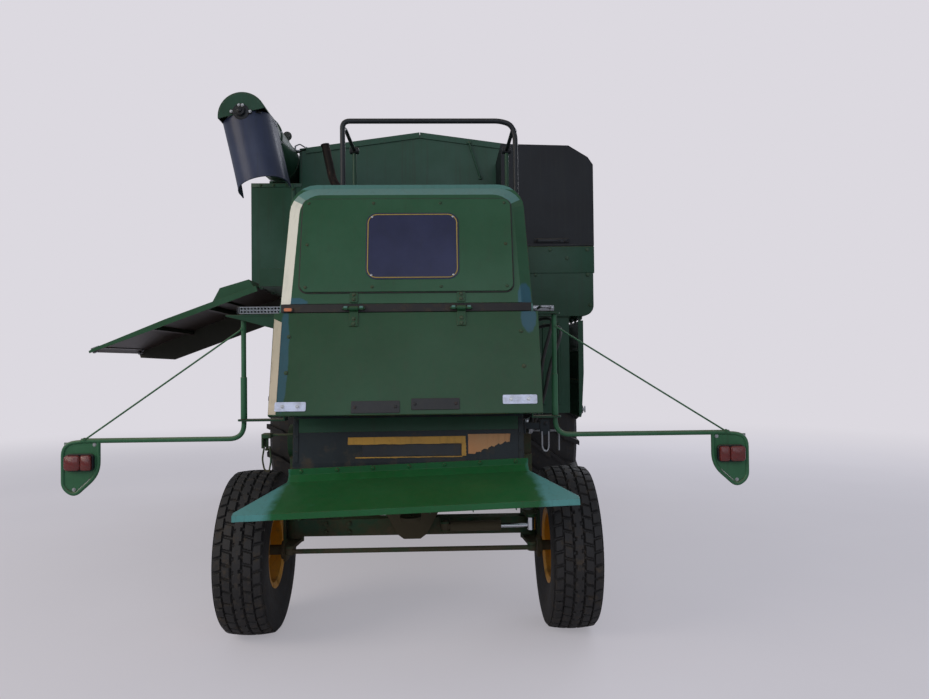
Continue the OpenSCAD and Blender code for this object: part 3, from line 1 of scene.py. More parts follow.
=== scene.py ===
"""Looks of a combine harvester seen from behind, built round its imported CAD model.

Places are in millimetres from the rear axle line and the ground, as in the part's source:
X to the machine's right, Y forward, Z up. at() turns them into metres in the frame.
"""
import math

import bpy
import numpy as np
from mathutils import Matrix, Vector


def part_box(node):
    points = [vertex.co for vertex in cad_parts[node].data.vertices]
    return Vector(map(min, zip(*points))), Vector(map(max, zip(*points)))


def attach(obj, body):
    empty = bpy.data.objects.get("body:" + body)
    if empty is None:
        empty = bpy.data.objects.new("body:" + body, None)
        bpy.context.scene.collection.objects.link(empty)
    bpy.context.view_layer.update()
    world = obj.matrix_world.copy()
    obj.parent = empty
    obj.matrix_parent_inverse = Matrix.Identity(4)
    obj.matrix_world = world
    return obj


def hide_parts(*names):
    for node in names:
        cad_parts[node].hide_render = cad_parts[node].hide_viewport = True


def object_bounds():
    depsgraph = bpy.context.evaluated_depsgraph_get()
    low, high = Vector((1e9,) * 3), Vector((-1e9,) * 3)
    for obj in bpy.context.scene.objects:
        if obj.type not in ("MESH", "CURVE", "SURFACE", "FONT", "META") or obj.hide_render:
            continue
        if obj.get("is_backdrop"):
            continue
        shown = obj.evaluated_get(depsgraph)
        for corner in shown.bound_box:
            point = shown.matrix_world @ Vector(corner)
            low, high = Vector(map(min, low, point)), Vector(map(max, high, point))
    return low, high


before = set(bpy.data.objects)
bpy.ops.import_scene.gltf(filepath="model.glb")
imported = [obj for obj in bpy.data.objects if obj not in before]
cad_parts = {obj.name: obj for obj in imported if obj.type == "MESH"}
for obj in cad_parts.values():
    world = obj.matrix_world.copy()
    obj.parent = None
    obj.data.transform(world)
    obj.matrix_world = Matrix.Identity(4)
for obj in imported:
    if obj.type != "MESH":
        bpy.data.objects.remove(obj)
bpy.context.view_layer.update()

# ---------------------------------------------------------------- camera
# A hand-held camera about 4.5 m behind the rear axle and 1.6 m up, a little right of the middle.
# It is turned 1.7 degrees right, tilted up 1 degree and rolled 0.6, as fitted to the photograph.
# Its focal length is 726 pixels of a picture 929 wide.
rear_left, rear_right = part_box("rear_tyre_left"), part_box("rear_tyre_right")
axle_line = np.array([
    (rear_left[0][0] + rear_right[1][0]) / 2, (rear_left[0][1] + rear_left[1][1]) / 2, 0.0])


def at(points):
    """Millimetres from the axle line and the ground, as metres in the frame: points / 1000 + axle_line."""
    return np.asarray(points, float) / 1000 + axle_line


yaw, pitch, roll = (math.radians(a) for a in (1.71, 1.069, -0.618))
ahead = np.array([math.sin(yaw) * math.cos(pitch), math.cos(yaw) * math.cos(pitch), math.sin(pitch)])
level = np.array([math.cos(yaw), -math.sin(yaw), 0.0])
upright = np.cross(level, ahead)
camera_axes = np.eye(4)
camera_axes[:3, 0] = level * math.cos(roll) + upright * math.sin(roll)
camera_axes[:3, 1] = upright * math.cos(roll) - level * math.sin(roll)
camera_axes[:3, 2] = -ahead
camera_axes[:3, 3] = at([196, -4479, 1607])
lens = bpy.data.cameras.new("yard_camera")
lens.sensor_width = 36
lens.lens = 726.1 / 929 * 36
lens.clip_end = 400
camera = bpy.data.objects.new("yard_camera", lens)
camera.matrix_world = Matrix(camera_axes.tolist())
bpy.context.scene.collection.objects.link(camera)
bpy.context.scene.camera = camera

# ---------------------------------------------------------------- studio
# A plain pale floor of painted concrete that runs into the backdrop's colour far away, under a
# soft sky with a wide warm light from the left, where the photograph's sun has just set.
bpy.context.scene.view_settings.view_transform = "Standard"


def linear(code):
    """An sRGB hex colour as linear RGBA: ((c + 0.055) / 1.055) ** 2.4, or c / 12.92 when dark."""
    c = np.array([int(code[i:i + 2], 16) / 255 for i in (1, 3, 5)])
    return (*np.where(c > 0.04045, ((c + 0.055) / 1.055) ** 2.4, c / 12.92), 1.0)


def add(tree, kind, feeds=(), **settings):
    """Adds one node: settings are its attributes, and feeds give each socket a colour, a number, an
    output, or a node, which stands for its first output in use."""
    node = tree.nodes.new("ShaderNode" + kind)
    for key, value in settings.items():
        setattr(node, key, value)
    for socket, value in dict(feeds).items():
        if isinstance(value, bpy.types.Node):
            value = next(out for out in value.outputs if out.enabled)
        if isinstance(value, bpy.types.NodeSocket):
            tree.links.new(value, node.inputs[socket])
        else:
            node.inputs[socket].default_value = value
    return node


usual_slots = {}


def new_material(name, slot=None):
    """An empty material and its tree; slot is kept in usual_slots as the slot for what is made of it."""
    material = bpy.data.materials.new(name)
    material.use_nodes = True
    material.node_tree.nodes.clear()
    usual_slots[name] = slot
    return material, material.node_tree


backdrop = linear("#dcd9e0")
concrete, tree = new_material("painted_concrete_floor")
place = add(tree, "TexCoord").outputs["Object"]
# trowelled paint: faint cloudy shade about 1.5 m across
cloud = add(tree, "TexNoise", {"Vector": place, "Scale": 0.7, "Detail": 4})
shade = add(tree, "Mix", {0: cloud, 6: linear("#cfccd2"), 7: linear("#dad7dc")}, data_type="RGBA")
matt = add(tree, "BsdfDiffuse", {"Color": shade})
glow = add(tree, "Emission", {"Color": backdrop})
reach = add(tree, "VectorMath", {0: place}, operation="LENGTH")
far = add(tree, "MapRange", {0: reach, 1: 5.0, 2: 14.0, 3: 0.42}, interpolation_type="SMOOTHSTEP")
seen = add(tree, "LightPath").outputs["Is Camera Ray"]
blend = add(tree, "Math", {0: far, 1: seen}, operation="MULTIPLY")
both = add(tree, "MixShader", {0: blend, 1: matt, 2: glow})
add(tree, "OutputMaterial", {"Surface": both})

floor_mesh = bpy.data.meshes.new("studio_floor")
floor_mesh.from_pydata([(-60, -60, 0), (60, -60, 0), (60, 60, 0), (-60, 60, 0)], [], [(0, 1, 2, 3)])
floor_mesh.materials.append(concrete)
floor = bpy.data.objects.new("studio_floor", floor_mesh)
bpy.context.scene.collection.objects.link(floor)
floor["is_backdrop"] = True

sky = bpy.data.worlds.new("soft_sky")
bpy.context.scene.world = sky
sky.use_nodes = True
tree = sky.node_tree
tree.nodes.clear()
rays = add(tree, "LightPath")
shown = add(tree, "Math", {0: rays.outputs["Is Camera Ray"], 1: rays.outputs["Is Transmission Ray"]},
    operation="MAXIMUM")
dome = add(tree, "Background", {"Color": linear("#dfe3ee"), "Strength": 0.5})
drop = add(tree, "Background", {"Color": backdrop, "Strength": 1.0})
pick = add(tree, "MixShader", {0: shown, 1: dome, 2: drop})
add(tree, "OutputWorld", {"Surface": pick})


def panel_light(name, place, aim, size, power, colour):
    """A soft rectangular lamp at place, its -Z axis turned along aim - place."""
    lamp = bpy.data.lights.new(name, "AREA")
    lamp.shape = "RECTANGLE"
    lamp.size, lamp.size_y = size
    lamp.energy = power
    lamp.color = linear(colour)[:3]
    holder = bpy.data.objects.new(name, lamp)
    back = np.array(place, float) - np.array(aim, float)
    back /= np.linalg.norm(back)
    side = np.cross([0, 0, 1], back)
    side /= np.linalg.norm(side)
    axes = np.eye(4)
    axes[:3, 0], axes[:3, 1], axes[:3, 2], axes[:3, 3] = side, np.cross(back, side), back, place
    holder.matrix_world = Matrix(axes.tolist())
    holder.visible_camera = False
    bpy.context.scene.collection.objects.link(holder)


panel_light("left_window", (-9.5, -7.5, 6.0), (0, -1, 1.5), (7, 5), 520, "#fff3e4")
panel_light("rear_window", (1.5, -11.5, 5.5), (0, -2, 1.4), (9, 4), 200, "#eef1ff")
panel_light("front_window", (6.5, 8.5, 7.0), (0, 1, 1.5), (8, 5), 380, "#f4f6ff")

# ---------------------------------------------------------------- frame, axles and rams
# Rolled steel rails and welded box beams, sprayed with machine enamel before assembly.
# After years outdoors they carry dried mud, dust on what faces up, chips and rust at edges.


def weathered_enamel(name, paint, faded, dust=0.35, mud_top=0.0, chips=0.4, gloss=0.42, patch=None,
                     dents=0.0025, rust="#5a3a26", streaks=0.35, wings=None, facing_tints=(), spots_at=(),
                     slot="body_paint"):
    """Sprayed enamel: a cloud of fade, rain streaks, dust by upward slope, mud by height, chips at edges."""
    material, tree = new_material(name, slot)
    coordinates = add(tree, "TexCoord")
    place = coordinates.outputs["Object"]
    # sun fade in clouds 0.3 to 0.6 m across
    cloud = add(tree, "TexNoise", {"Vector": place, "Scale": 2.3, "Detail": 7, "Roughness": 0.62})
    fade = add(tree, "MapRange", {0: cloud, 1: 0.36, 2: 0.70})
    colour = add(tree, "Mix", {0: fade, 6: linear(paint), 7: linear(faded)}, data_type="RGBA")
    if patch:
        # touched-up or chalked patches with ragged edges, a hand wide
        spots = add(tree, "TexNoise", {"Vector": place, "Scale": 3.4, "Detail": 9, "Roughness": 0.7,
            "Distortion": 0.5})
        ragged = add(tree, "MapRange", {0: spots, 1: 0.60, 2: 0.66})
        colour = add(tree, "Mix", {0: ragged, 6: colour, 7: linear(patch)}, data_type="RGBA")
    if wings:
        # painted reflection of the sky: teal on the ends beyond a distance from the machine's middle, with a
        # ragged border
        apart = add(tree, "SeparateXYZ", {0: place})
        side = add(tree, "Math", {0: apart.outputs["X"], 1: float(axle_line[0])}, operation="SUBTRACT")
        span = add(tree, "Math", {0: side}, operation="ABSOLUTE")
        border = add(tree, "TexNoise", {"Vector": place, "Scale": 16, "Detail": 8, "Roughness": 0.7})
        ragged = add(tree, "MapRange", {0: border, 1: 0.0, 2: 1.0, 3: -0.04, 4: 0.04})
        moved = add(tree, "Math", {0: span, 1: ragged}, operation="ADD")
        # the border runs outwards by 0.1 m for each metre from the board's root, 0.39 m behind the axle,
        # towards its lip
        leant = add(tree, "Math", {0: apart.outputs["Y"], 1: 0.1, 2: moved}, operation="MULTIPLY_ADD")
        edge = wings[1] + 0.1 * (float(axle_line[1]) - 0.39)
        # share of the painted teal sky reflection on the wings
        wing_sky_reflection = add(tree, "MapRange", {0: leant, 1: edge, 2: edge + 0.05, 4: 0.92})
        colour = add(tree, "Mix", {0: wing_sky_reflection, 6: colour, 7: linear(wings[0])}, data_type="RGBA")
    for middle, radii, tint in spots_at:
        # a spot of another tint, the distance from its middle in its own radii with a ragged border: dark brown
        # on the door's far end plate, bluish patches on the hood and flap, and along the hood panel's top edge
        # a painted reflection of the sky
        away = add(tree, "VectorMath", {0: place, 1: tuple(at(middle))}, operation="SUBTRACT")
        scaled = add(tree, "VectorMath", {0: away, 1: tuple(1000 / r for r in radii)}, operation="MULTIPLY")
        span = add(tree, "VectorMath", {0: scaled}, operation="LENGTH")
        border = add(tree, "TexNoise", {"Vector": place, "Scale": 22, "Detail": 7, "Roughness": 0.65})
        moved = add(tree, "Math", {0: border, 1: 0.5, 2: span}, operation="MULTIPLY_ADD")
        spot = add(tree, "MapRange", {0: moved, 1: 1.28, 2: 1.12, 4: 0.85})
        colour = add(tree, "Mix", {0: spot, 6: colour, 7: linear(tint)}, data_type="RGBA")
    for direction, low, high, tint in facing_tints:
        # a tint where the surface faces a direction, cosine between low and high: dark brown on the door's
        # inner faces and green on its outer ones, and on the hood's chamfers a painted reflection of the sky,
        # teal on the top one and cream on the left one
        along = add(tree, "VectorMath", {0: coordinates.outputs["Normal"], 1: direction},
            operation="DOT_PRODUCT")
        share = add(tree, "MapRange", {0: along, 1: low, 2: high})
        colour = add(tree, "Mix", {0: share, 6: colour, 7: linear(tint)}, data_type="RGBA")
    # rain streaks: 25 mm wide and a metre tall
    tall = add(tree, "Mapping", {"Vector": place, "Scale": (38, 38, 1.1)})
    runs = add(tree, "TexNoise", {"Vector": tall, "Scale": 1.0, "Detail": 4, "Roughness": 0.6})
    wet = add(tree, "MapRange", {0: runs, 1: 0.52, 2: 0.80, 4: streaks})
    colour = add(tree, "Mix", {0: wet, 6: colour, 7: linear("#2c2f24")}, data_type="RGBA")
    # dust where the surface faces up, broken into grains of about 20 mm
    facing = add(tree, "SeparateXYZ", {0: coordinates.outputs["Normal"]})
    grain = add(tree, "TexNoise", {"Vector": place, "Scale": 26, "Detail": 6, "Roughness": 0.7})
    slope = add(tree, "MapRange", {0: facing.outputs["Z"], 1: 0.15, 2: 1.0, 4: dust * 1.5})
    dusty = add(tree, "Math", {0: slope, 1: grain}, operation="MULTIPLY", use_clamp=True)
    colour = add(tree, "Mix", {0: dusty, 6: colour, 7: linear("#8d8168")}, data_type="RGBA")
    soil = dusty
    if mud_top:
        # splashed mud thins out with height
        height = add(tree, "SeparateXYZ", {0: place})
        splash = add(tree, "TexNoise", {"Vector": place, "Scale": 9, "Detail": 8, "Roughness": 0.68})
        low = add(tree, "MapRange", {0: height.outputs["Z"], 1: mud_top, 2: mud_top * 0.35, 4: 0.55})
        sum_up = add(tree, "Math", {0: low, 1: splash}, operation="ADD")
        mud = add(tree, "MapRange", {0: sum_up, 1: 0.62, 2: 0.86, 4: 0.85})
        colour = add(tree, "Mix", {0: mud, 6: colour, 7: linear("#4e4334")}, data_type="RGBA")
        soil = add(tree, "Math", {0: soil, 1: mud}, operation="MAXIMUM")
    # worn edges: where a 4 mm rounded normal leaves the true one, broken by 8 mm grains
    rounded = add(tree, "Bevel", {"Radius": 0.004}, samples=4)
    true = add(tree, "NewGeometry")
    turn = add(tree, "VectorMath", {0: rounded, 1: true.outputs["Normal"]}, operation="DOT_PRODUCT")
    edge = add(tree, "MapRange", {0: turn, 1: 0.985, 2: 0.85, 4: 0.22})
    pits = add(tree, "TexNoise", {"Vector": place, "Scale": 62, "Detail": 6, "Roughness": 0.75})
    worn = add(tree, "Math", {0: edge, 1: pits}, operation="ADD")
    bare = add(tree, "MapRange", {0: worn, 1: 0.735 - 0.05 * chips, 2: 0.76 - 0.04 * chips, 4: 0.9})
    colour = add(tree, "Mix", {0: bare, 6: colour, 7: linear(rust)}, data_type="RGBA")
    # orange peel of the spray, 3 mm, and oil-canning of the sheet, 0.4 m
    peel = add(tree, "TexNoise", {"Vector": place, "Scale": 300, "Detail": 2})
    sheet = add(tree, "TexNoise", {"Vector": place, "Scale": 2.6, "Detail": 1})
    wavy = add(tree, "Bump", {"Height": sheet, "Distance": dents * 4, "Strength": 0.6, "Normal": rounded})
    skin = add(tree, "Bump", {"Height": peel, "Distance": 0.0002, "Strength": 0.5, "Normal": wavy})
    flaked = add(tree, "Bump", {"Height": bare, "Distance": 0.0006, "Strength": 0.6, "Normal": skin},
        invert=True)
    rough = add(tree, "MapRange", {0: soil, 1: 0.0, 2: 0.6, 3: gloss, 4: 0.88})
    shader = add(tree, "BsdfPrincipled", {"Base Color": colour, "Roughness": rough, "Normal": flaked,
        "IOR": 1.5, "Specular IOR Level": 0.22, "Coat Weight": 0.06, "Coat Roughness": 0.18})
    add(tree, "OutputMaterial", {"Surface": shader})
    return material


def dress(material, *nodes):
    """Gives CAD nodes a finer material in place of their plain one."""
    for name in nodes:
        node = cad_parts[name]
        node.data.materials.clear()
        node.data.materials.append(material)


frame_enamel = weathered_enamel("dark_green_frame_enamel", "#1f4429", "#2c4a36", dust=0.6, mud_top=1.5,
    chips=0.8, slot="frame_paint")
axle_enamel = weathered_enamel("green_axle_enamel", "#173a20", "#22452c", dust=0.25, mud_top=0.85, chips=0.9,
    slot="frame_paint")
dress(frame_enamel, "main_frame", "steer_barrel", "front_axle", "lift_barrel_left", "lift_barrel_right")
dress(axle_enamel, "rear_axle", "knuckle_left", "knuckle_right", "tie_rod", "chopper_rotor")


def rolled_steel(name, tint, rough=0.32, rust=0.35, scale=1.0, slot="bright_steel"):
    """Bare turned steel: fine turning grain across a tint, with brown rust clouds by share rust."""
    material, tree = new_material(name, slot)
    place = add(tree, "TexCoord").outputs["Object"]
    cloud = add(tree, "TexNoise", {"Vector": place, "Scale": 14 * scale, "Detail": 8, "Roughness": 0.7})
    rusty = add(tree, "MapRange", {0: cloud, 1: 0.72 - rust * 0.35, 2: 0.80 - rust * 0.2, 4: 0.9})
    colour = add(tree, "Mix", {0: rusty, 6: linear(tint), 7: linear("#55392a")}, data_type="RGBA")
    metal = add(tree, "MapRange", {0: rusty, 1: 0.0, 2: 0.9, 3: 1.0, 4: 0.1})
    roughness = add(tree, "MapRange", {0: rusty, 1: 0.0, 2: 0.9, 3: rough, 4: 0.85})
    grain = add(tree, "TexNoise", {"Vector": place, "Scale": 420, "Detail": 3})
    bump = add(tree, "Bump", {"Height": grain, "Distance": 0.0002, "Strength": 0.5})
    shader = add(tree, "BsdfPrincipled", {"Base Color": colour, "Metallic": metal, "Roughness": roughness,
        "Normal": bump})
    add(tree, "OutputMaterial", {"Surface": shader})
    return material


turned_steel = rolled_steel("turned_steel", "#8f9295", 0.34, 0.35)
chromed_rod = rolled_steel("hard_chromed_rod", "#c9ced3", 0.12, 0.0)
zinc_bolts = rolled_steel("zinc_plated_steel", "#a9abac", 0.38, 0.3, 3.0)
dress(chromed_rod, "steer_rod", "lift_rod_left", "lift_rod_right")

# ---------------------------------------------------------------- wheels
# Pressed and welded steel rims in yellow enamel, and bias-ply farm tyres of carbon-black rubber.
# The tread is moulded; the walls are dusty and the tread's edges are scuffed grey.


def vulcanised_rubber(name, tint, grey, scale=1.0, slot="belt_rubber"):
    """Moulded rubber: a dark tint, grey bloom in clouds, brown soil in the tread, fine pitted skin."""
    material, tree = new_material(name, slot)
    place = add(tree, "TexCoord").outputs["Object"]
    cloud = add(tree, "TexNoise", {"Vector": place, "Scale": 6 * scale, "Detail": 8, "Roughness": 0.7})
    bloom = add(tree, "MapRange", {0: cloud, 1: 0.38, 2: 0.72, 4: 0.75})
    colour = add(tree, "Mix", {0: bloom, 6: linear(tint), 7: linear(grey)}, data_type="RGBA")
    dirt = add(tree, "TexNoise", {"Vector": place, "Scale": 19 * scale, "Detail": 7, "Roughness": 0.72})
    soil = add(tree, "MapRange", {0: dirt, 1: 0.52, 2: 0.68, 4: 0.6})
    colour = add(tree, "Mix", {0: soil, 6: colour, 7: linear("#4b4134")}, data_type="RGBA")
    pits = add(tree, "TexNoise", {"Vector": place, "Scale": 220, "Detail": 4})
    bump = add(tree, "Bump", {"Height": pits, "Distance": 0.0008, "Strength": 0.6})
    caked = add(tree, "Bump", {"Height": soil, "Distance": 0.002, "Strength": 0.5, "Normal": bump})
    rough = add(tree, "MapRange", {0: soil, 1: 0.0, 2: 0.6, 3: 0.68, 4: 0.95})
    shader = add(tree, "BsdfPrincipled", {"Base Color": colour, "Roughness": rough, "Normal": caked,
        "IOR": 1.52})
    add(tree, "OutputMaterial", {"Surface": shader})
    return material


tyre_rubber = vulcanised_rubber("bias_ply_tyre_rubber", "#121111", "#1f1d1c", slot="tyre")
belt_rubber = vulcanised_rubber("drive_belt_rubber", "#1c1b1b", "#353331", 2.0)
rim_enamel = weathered_enamel("yellow_rim_enamel", "#d98f17", "#c2902f", dust=0.35, mud_top=0.35, chips=0.7,
    dents=0.0005)
dress(rim_enamel, "rear_rim_left", "rear_rim_right", "front_rim_left", "front_rim_right")
dress(tyre_rubber, "front_tyre_left", "front_tyre_right")
dress(belt_rubber, "drive_belts")


def quads(rows, columns, wrap=True):
    """Faces of a grid of points: (i, j) joins (i, j+1), (i+1, j+1) and (i+1, j); wrap closes each row."""
    i, j = np.meshgrid(np.arange(rows - 1), np.arange(columns if wrap else columns - 1), indexing="ij")
    k = (j + 1) % columns
    return np.stack([i * columns + j, i * columns + k, (i + 1) * columns + k, (i + 1) * columns + j],
        -1).reshape(-1, 4)


def skin(loops, closed=False):
    """Points and faces over a row of equal loops: point k joins point k of the next loop.
    The first and last loops are filled, or joined to each other when closed."""
    loops = np.asarray(loops, float)
    if closed:
        loops = np.concatenate([loops, loops[:1]])
    rows, columns = loops.shape[:2]
    faces = quads(rows, columns)
    if closed:
        faces = np.where(faces >= (rows - 1) * columns, faces - (rows - 1) * columns, faces)
        return loops[:-1].reshape(-1, 3), faces, []
    ends = [np.arange(columns)[::-1], np.arange(columns) + (rows - 1) * columns]
    return loops.reshape(-1, 3), faces, ends


def turned_out(part):
    """The part with its faces outwards: the sum of the corners' triple products is its volume,
    which is made positive."""
    points, faces, ends = part
    middle = points.mean(0)
    tris = np.concatenate([faces[:, [0, 1, 2]], faces[:, [0, 2, 3]]] + [np.stack([np.full(len(e) - 2, e[0]),
        e[1:-1], e[2:]], -1) for e in ends])
    a, b, c = (points[tris[:, k]] - middle for k in range(3))
    if np.einsum("ij,ij->i", a, np.cross(b, c)).sum() < 0:
        faces, ends = faces[:, ::-1], [e[::-1] for e in ends]
    return points, faces, ends


def make(name, parts, material, body="chassis", slot="usual", crease=32):
    """One named piece of several closed parts, shaded smooth except where faces meet above crease degrees.
    Its slot, the material's usual one unless another is given, is looked up but not set on the piece."""
    points, loops, starts, count = [], [], [], 0
    for part in parts:
        p, faces, ends = turned_out(part)
        points.append(p)
        loops += [(faces + count).reshape(-1)] + [e + count for e in ends]
        starts += [np.full(len(faces), 4)] + [np.array([len(e)]) for e in ends]
        count += len(p)
    points = at(np.concatenate(points))
    loops, sizes = np.concatenate(loops), np.concatenate(starts)
    mesh = bpy.data.meshes.new(name)
    mesh.vertices.add(len(points))
    mesh.vertices.foreach_set("co", points.reshape(-1).astype(np.float32))
    mesh.loops.add(len(loops))
    mesh.loops.foreach_set("vertex_index", loops.astype(np.int32))
    mesh.polygons.add(len(sizes))
    mesh.polygons.foreach_set("loop_start", (np.cumsum(sizes) - sizes).astype(np.int32))
    mesh.update(calc_edges=True)
    mesh.validate()
    mesh.shade_smooth()
    mesh.set_sharp_from_angle(angle=math.radians(crease))
    mesh.materials.append(material)
    piece = bpy.data.objects.new(name, mesh)
    bpy.context.scene.collection.objects.link(piece)
    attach(piece, body)
    slot = usual_slots[material.name] if slot == "usual" else slot
    return piece


def ring(n, start=0.0):
    """The angles of n points round a circle."""
    return start + np.arange(n) * 2 * math.pi / n


def square_to(direction):
    """Two unit vectors square to a direction and to each other."""
    d = np.asarray(direction, float) / np.linalg.norm(direction)
    u = np.cross(d, [0, 0, 1] if abs(d[2]) < 0.9 else [1, 0, 0])
    u /= np.linalg.norm(u)
    return u, np.cross(d, u)


def turned(profile, foot, direction, n=24, start=0.0):
    """A turned part: each (radius, height) of the profile is a circle round the axis from foot."""
    profile = np.asarray(profile, float)
    d = np.asarray(direction, float) / np.linalg.norm(direction)
    u, v = square_to(d)
    a = ring(n, start)
    circle = np.cos(a)[:, None] * u + np.sin(a)[:, None] * v
    return skin(np.asarray(foot, float) + profile[:, None, None, 0] * circle + profile[:, None, None, 1] * d)


# Tread of a rear tyre: five rows of blocks round the tyre, staggered, with grooves 14 mm deep.
# Angle and place across the tread give the radius; the walls follow the same loop down to the bead.
tyre_r, tyre_w, pitch_count = 482.5, 290.0, 40


def tread_radius(angle, across):
    """Radius of the tyre's tread: crown minus a groove where the distance from a block's middle,
    measured in block sizes, passes 1. Each row is turned half a pitch from the next."""
    crown = tyre_r - 15.0 * (across / (tyre_w / 2)) ** 2
    edges = np.array([-134, -84, -30, 30, 84, 134.0])
    row = np.clip(np.searchsorted(edges, across) - 1, 0, 4)
    middle, half = (edges[row] + edges[row + 1]) / 2, (edges[row + 1] - edges[row]) / 2
    lean = (across - middle) / half * np.where(row % 2, 0.10, -0.10)
    t = (angle * pitch_count / (2 * math.pi) + 0.5 * (row % 2) + lean) % 1.0
    along = np.abs(t - 0.5) * 2 * np.where(row == 2, 1.04, 1.0)
    side = np.abs(across - middle) / half
    solid = np.clip((0.86 - along) / 0.10, 0, 1) * np.clip((0.90 - side) / 0.10, 0, 1)
    solid = np.where(row == 2, np.maximum(solid, np.clip((0.55 - side) / 0.14, 0, 1)), solid)
    return crown - 14.0 * (1 - solid)


def rear_tyre(side):
    """The tyre as loops across its section, each loop once round the wheel."""
    across = np.linspace(-134, 134, 68)
    angle = ring(720)
    tread = np.stack([tread_radius(angle, w) for w in across])
    # the wall from the shoulder to the bead: (share of half width, radius)
    wall = np.array([(0.955, 458), (0.985, 440), (1.0, 415), (0.995, 380), (0.97, 345), (0.965, 342),
        (0.955, 338), (0.93, 300), (0.87, 262), (0.83, 238), (0.80, 226), (0.76, 214), (0.70, 206)])
    ribs = 1.5 * (np.sin(angle * 90) > 0.2) * 1.0
    outer = np.stack([np.full(len(angle), r) + (ribs if 400 < r < 450 else 0) for _, r in wall])
    radii = np.concatenate([outer[::-1], tread, outer])
    widths = np.concatenate([-wall[::-1, 0] * tyre_w / 2, across, wall[:, 0] * tyre_w / 2])
    x = side * rear_x + widths[:, None] + 0 * radii
    loops = np.stack([x, radii * np.sin(angle), tyre_r + radii * np.cos(angle)], -1)
    return skin(loops, closed=True)


def hex_bolts(places, direction, across=18.0, high=8.0, washer=True):
    """Hexagon bolts with washers: twelve points a loop, every second one drawn in to the hexagon's flat."""
    d = np.asarray(direction, float) / np.linalg.norm(direction)
    u, v = square_to(d)
    a = ring(12)
    round_ = np.cos(a)[:, None] * u + np.sin(a)[:, None] * v
    six = round_ * np.where(np.arange(12) % 2, 1.0, 1 / math.cos(math.pi / 6))[:, None] * across / 2
    w = across * 0.82 if washer else across * 0.55
    rows = [round_ * w + d * 0, round_ * w + d * 2, six + d * 2, six + d * (high - 1.5), six * 0.86 + d * high]
    rows = np.stack(rows)
    return [skin(rows + np.asarray(p, float)) for p in places]


def bolts(name, places, direction, across, high, material=zinc_bolts, body="chassis", slot="usual",
          washer=True):
    """A piece of hexagon bolts."""
    return make(name, hex_bolts(places, direction, across, high, washer), material, body, slot)


rear_x, front_x, front_y, front_z = 940, 1250, 3650, 900
sides = ((-1, "left"), (1, "right"))
for s, word in sides:
    tyre = make(f"rear_tyre_moulded_{word}", [rear_tyre(s)], tyre_rubber, f"wheel_rear_{word}", crease=28)
    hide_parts(f"rear_tyre_{word}")
    a = ring(8)
    nuts = np.stack([np.full(8, s * (rear_x + 34)), 120 * np.cos(a), tyre_r + 120 * np.sin(a)], -1)
    cap = turned([(58, -6), (58, 24), (50, 38), (30, 44), (4, 45)], (s * (rear_x + 36), 0, tyre_r), (s, 0, 0))
    make(f"rear_hub_{word}", hex_bolts(nuts, (s, 0, 0), 27, 20) + [cap], zinc_bolts, f"wheel_rear_{word}")
for s, word in sides:
    a = ring(10)
    nuts = np.stack([np.full(10, s * (front_x + 48)), front_y + 150 * np.cos(a), front_z + 150 * np.sin(a)], -1)
    cap = turned([(104, 0), (104, 14), (92, 22), (40, 26), (4, 27)], (s * (front_x + 118), front_y, front_z),
        (s, 0, 0), 32)
    make(f"front_hub_{word}", hex_bolts(nuts, (s, 0, 0), 32, 26) + [cap], zinc_bolts, f"wheel_front_{word}")

# ---------------------------------------------------------------- body, tank and other enamelled sheet
# Folded and spot-welded steel sheet, 2 to 3 mm thick, in machine green. The sun has chalked it
# and rain has run down it. The hood's panels are newer and glossier than the body.
left_chamfer = (-0.569, -0.797, 0.202)
body_enamel = weathered_enamel("green_body_enamel", "#193c27", "#234736", dust=0.55, chips=0.35, streaks=0.4)
door_enamel = weathered_enamel("green_door_enamel", "#1f4a2e", "#2b543c", dust=0.45, chips=0.35, streaks=0.3,
    facing_tints=[((0.342, 0.0, -0.94), 0.3, 0.6, "#2f2523"), ((-0.342, 0.0, 0.94), 0.3, 0.6, "#234a31")],
    spots_at=[((-1900, 1720, 1900), (1500, 480, 1500), "#2f2523")])
tank_enamel = weathered_enamel("green_tank_enamel", "#1f4533", "#2d5143", dust=0.6, chips=0.25, streaks=0.45)
# the hood's chamfers get a painted reflection of the sky, teal where they face up and to the rear and cream
# where they face left; the teal band along the panel's top edge is the same painted reflection
hood_enamel = weathered_enamel("green_hood_enamel", "#1d4a2e", "#28543a", dust=0.2, chips=0.2, gloss=0.33,
    streaks=0.22, dents=0.002, facing_tints=[((0.0, -0.657, 0.754), 0.83, 0.85, "#4f7c76"),
    (left_chamfer, 0.93, 0.97, "#d2d2c4")], spots_at=[((655, -470, 1975), (42, 200, 84), "#275566"),
    ((-610, -480, 1946), (70, 200, 30), "#275566"), ((0, -262, 2652), (1150, 70, 42), "#4f7c76")])
flap_enamel = weathered_enamel("green_flap_enamel", "#133f22", "#1b472b", dust=0.22, chips=0.3, gloss=0.36,
    streaks=0.25, dents=0.003, spots_at=[((672, -490, 1850), (44, 200, 80), "#254f60"),
    ((-662, -560, 1640), (30, 600, 300), "#234e5c")])
